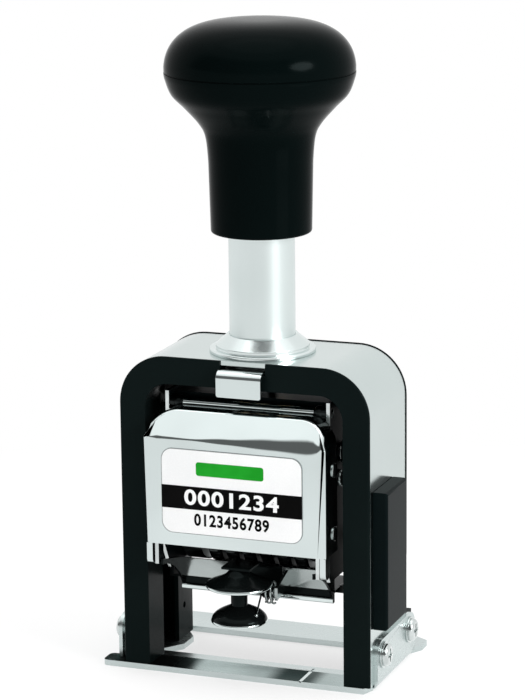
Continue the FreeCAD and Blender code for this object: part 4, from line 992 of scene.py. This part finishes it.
# White all round and brighter overhead, with the dark of the room in front,
# above the horizon
def addWorld(look):
    world = bpy.data.worlds.new("studio")
    bpy.context.scene.world = world
    world.use_nodes = True
    nodes = world.node_tree.nodes
    links = world.node_tree.links
    coords = nodes.new("ShaderNodeTexCoord")
    split = nodes.new("ShaderNodeSeparateXYZ")
    links.new(coords.outputs["Generated"], split.inputs["Vector"])
    rise = addRange(nodes, links, split.outputs["Z"], 0, 1, *look["darkFrom"])
    fall = addRange(nodes, links, split.outputs["Z"], 1, 0, *look["darkTo"])
    ahead = addRange(nodes, links, split.outputs["Y"], 1, 0, *look["darkSide"])
    band = addMaths(nodes, links, "MULTIPLY", rise, fall)
    dark = addMaths(nodes, links, "MULTIPLY", band, ahead)
    strength = addRange(nodes, links, dark, 1, look["darkStrength"])
    ceiling = addRange(nodes, links, split.outputs["Z"], 1, look["ceiling"], *look["ceilingFrom"])
    overhead = addRange(nodes, links, split.outputs["Z"], 1, look["overhead"], *look["overheadFrom"])
    upper = addMaths(nodes, links, "MULTIPLY", ceiling, overhead)
    level = addMaths(nodes, links, "MULTIPLY", strength, upper)
    background = nodes["Background"]
    background.inputs["Color"].default_value = (1, 1, 1, 1)
    links.new(level, background.inputs["Strength"])


# A wide soft lamp at the right and a low strip for the block's side
lamps = [{"name": "sideSoftbox", "shape": "ELLIPSE", "place": (0.76, -0.22, 0.46), "size": (0.42, 0.28),
          "power": 4.5, "target": (0, 0, 0.12)},
         {"name": "lowStrip", "shape": "RECTANGLE", "place": (0.325, -0.131, 0.034), "size": (0.17, 0.06),
          "power": 0.036, "target": (0, 0, 0.10)}]


def addLamp(look):
    lamp = bpy.data.lights.new(look["name"], "AREA")
    lamp.shape = look["shape"]
    lamp.size, lamp.size_y = look["size"]
    lamp.energy = look["power"]
    obj = bpy.data.objects.new(look["name"], lamp)
    bpy.context.scene.collection.objects.link(obj)
    obj.location = look["place"]
    obj.rotation_euler = (Vector(look["target"]) - Vector(look["place"])).to_track_quat("-Z", "Y").to_euler()


cameraFit = {"azimuth": 20.71, "elevation": 13.0, "roll": -0.62, "distance": 0.78915, "sensor": 36,
             "focalPixels": 2987.27, "picturePixels": 700, "target": (-0.00009, 0.0, 0.08681)}


def addCamera(fit):
    azimuth = math.radians(fit["azimuth"])
    elevation = math.radians(fit["elevation"])
    roll = math.radians(fit["roll"])
    back = Vector((math.sin(azimuth) * math.cos(elevation), -math.cos(azimuth) * math.cos(elevation),
                   math.sin(elevation)))
    right = Vector((0, 0, 1)).cross(back).normalized()
    up = back.cross(right)
    turnedRight = right * math.cos(roll) + up * math.sin(roll)
    turnedUp = up * math.cos(roll) - right * math.sin(roll)
    camera = bpy.data.cameras.new("view")
    camera.sensor_fit = "VERTICAL"
    camera.sensor_height = fit["sensor"]
    camera.lens = fit["sensor"] * fit["focalPixels"] / fit["picturePixels"]
    camera.clip_start = 0.01
    camera.clip_end = 50
    obj = bpy.data.objects.new("view", camera)
    bpy.context.scene.collection.objects.link(obj)
    target = Vector(fit["target"]) + Vector((axisX, axisY, 0))
    rotation = Matrix((turnedRight, turnedUp, back)).transposed()
    obj.matrix_world = Matrix.Translation(target + back * fit["distance"]) @ rotation.to_4x4()
    bpy.context.scene.camera = obj


addStage(stageLook)
addWorld(stageLook)
for lampLook in lamps:
    addLamp(lampLook)
addCamera(cameraFit)
bpy.context.scene.view_settings.view_transform = "Standard"
print("stage ready")
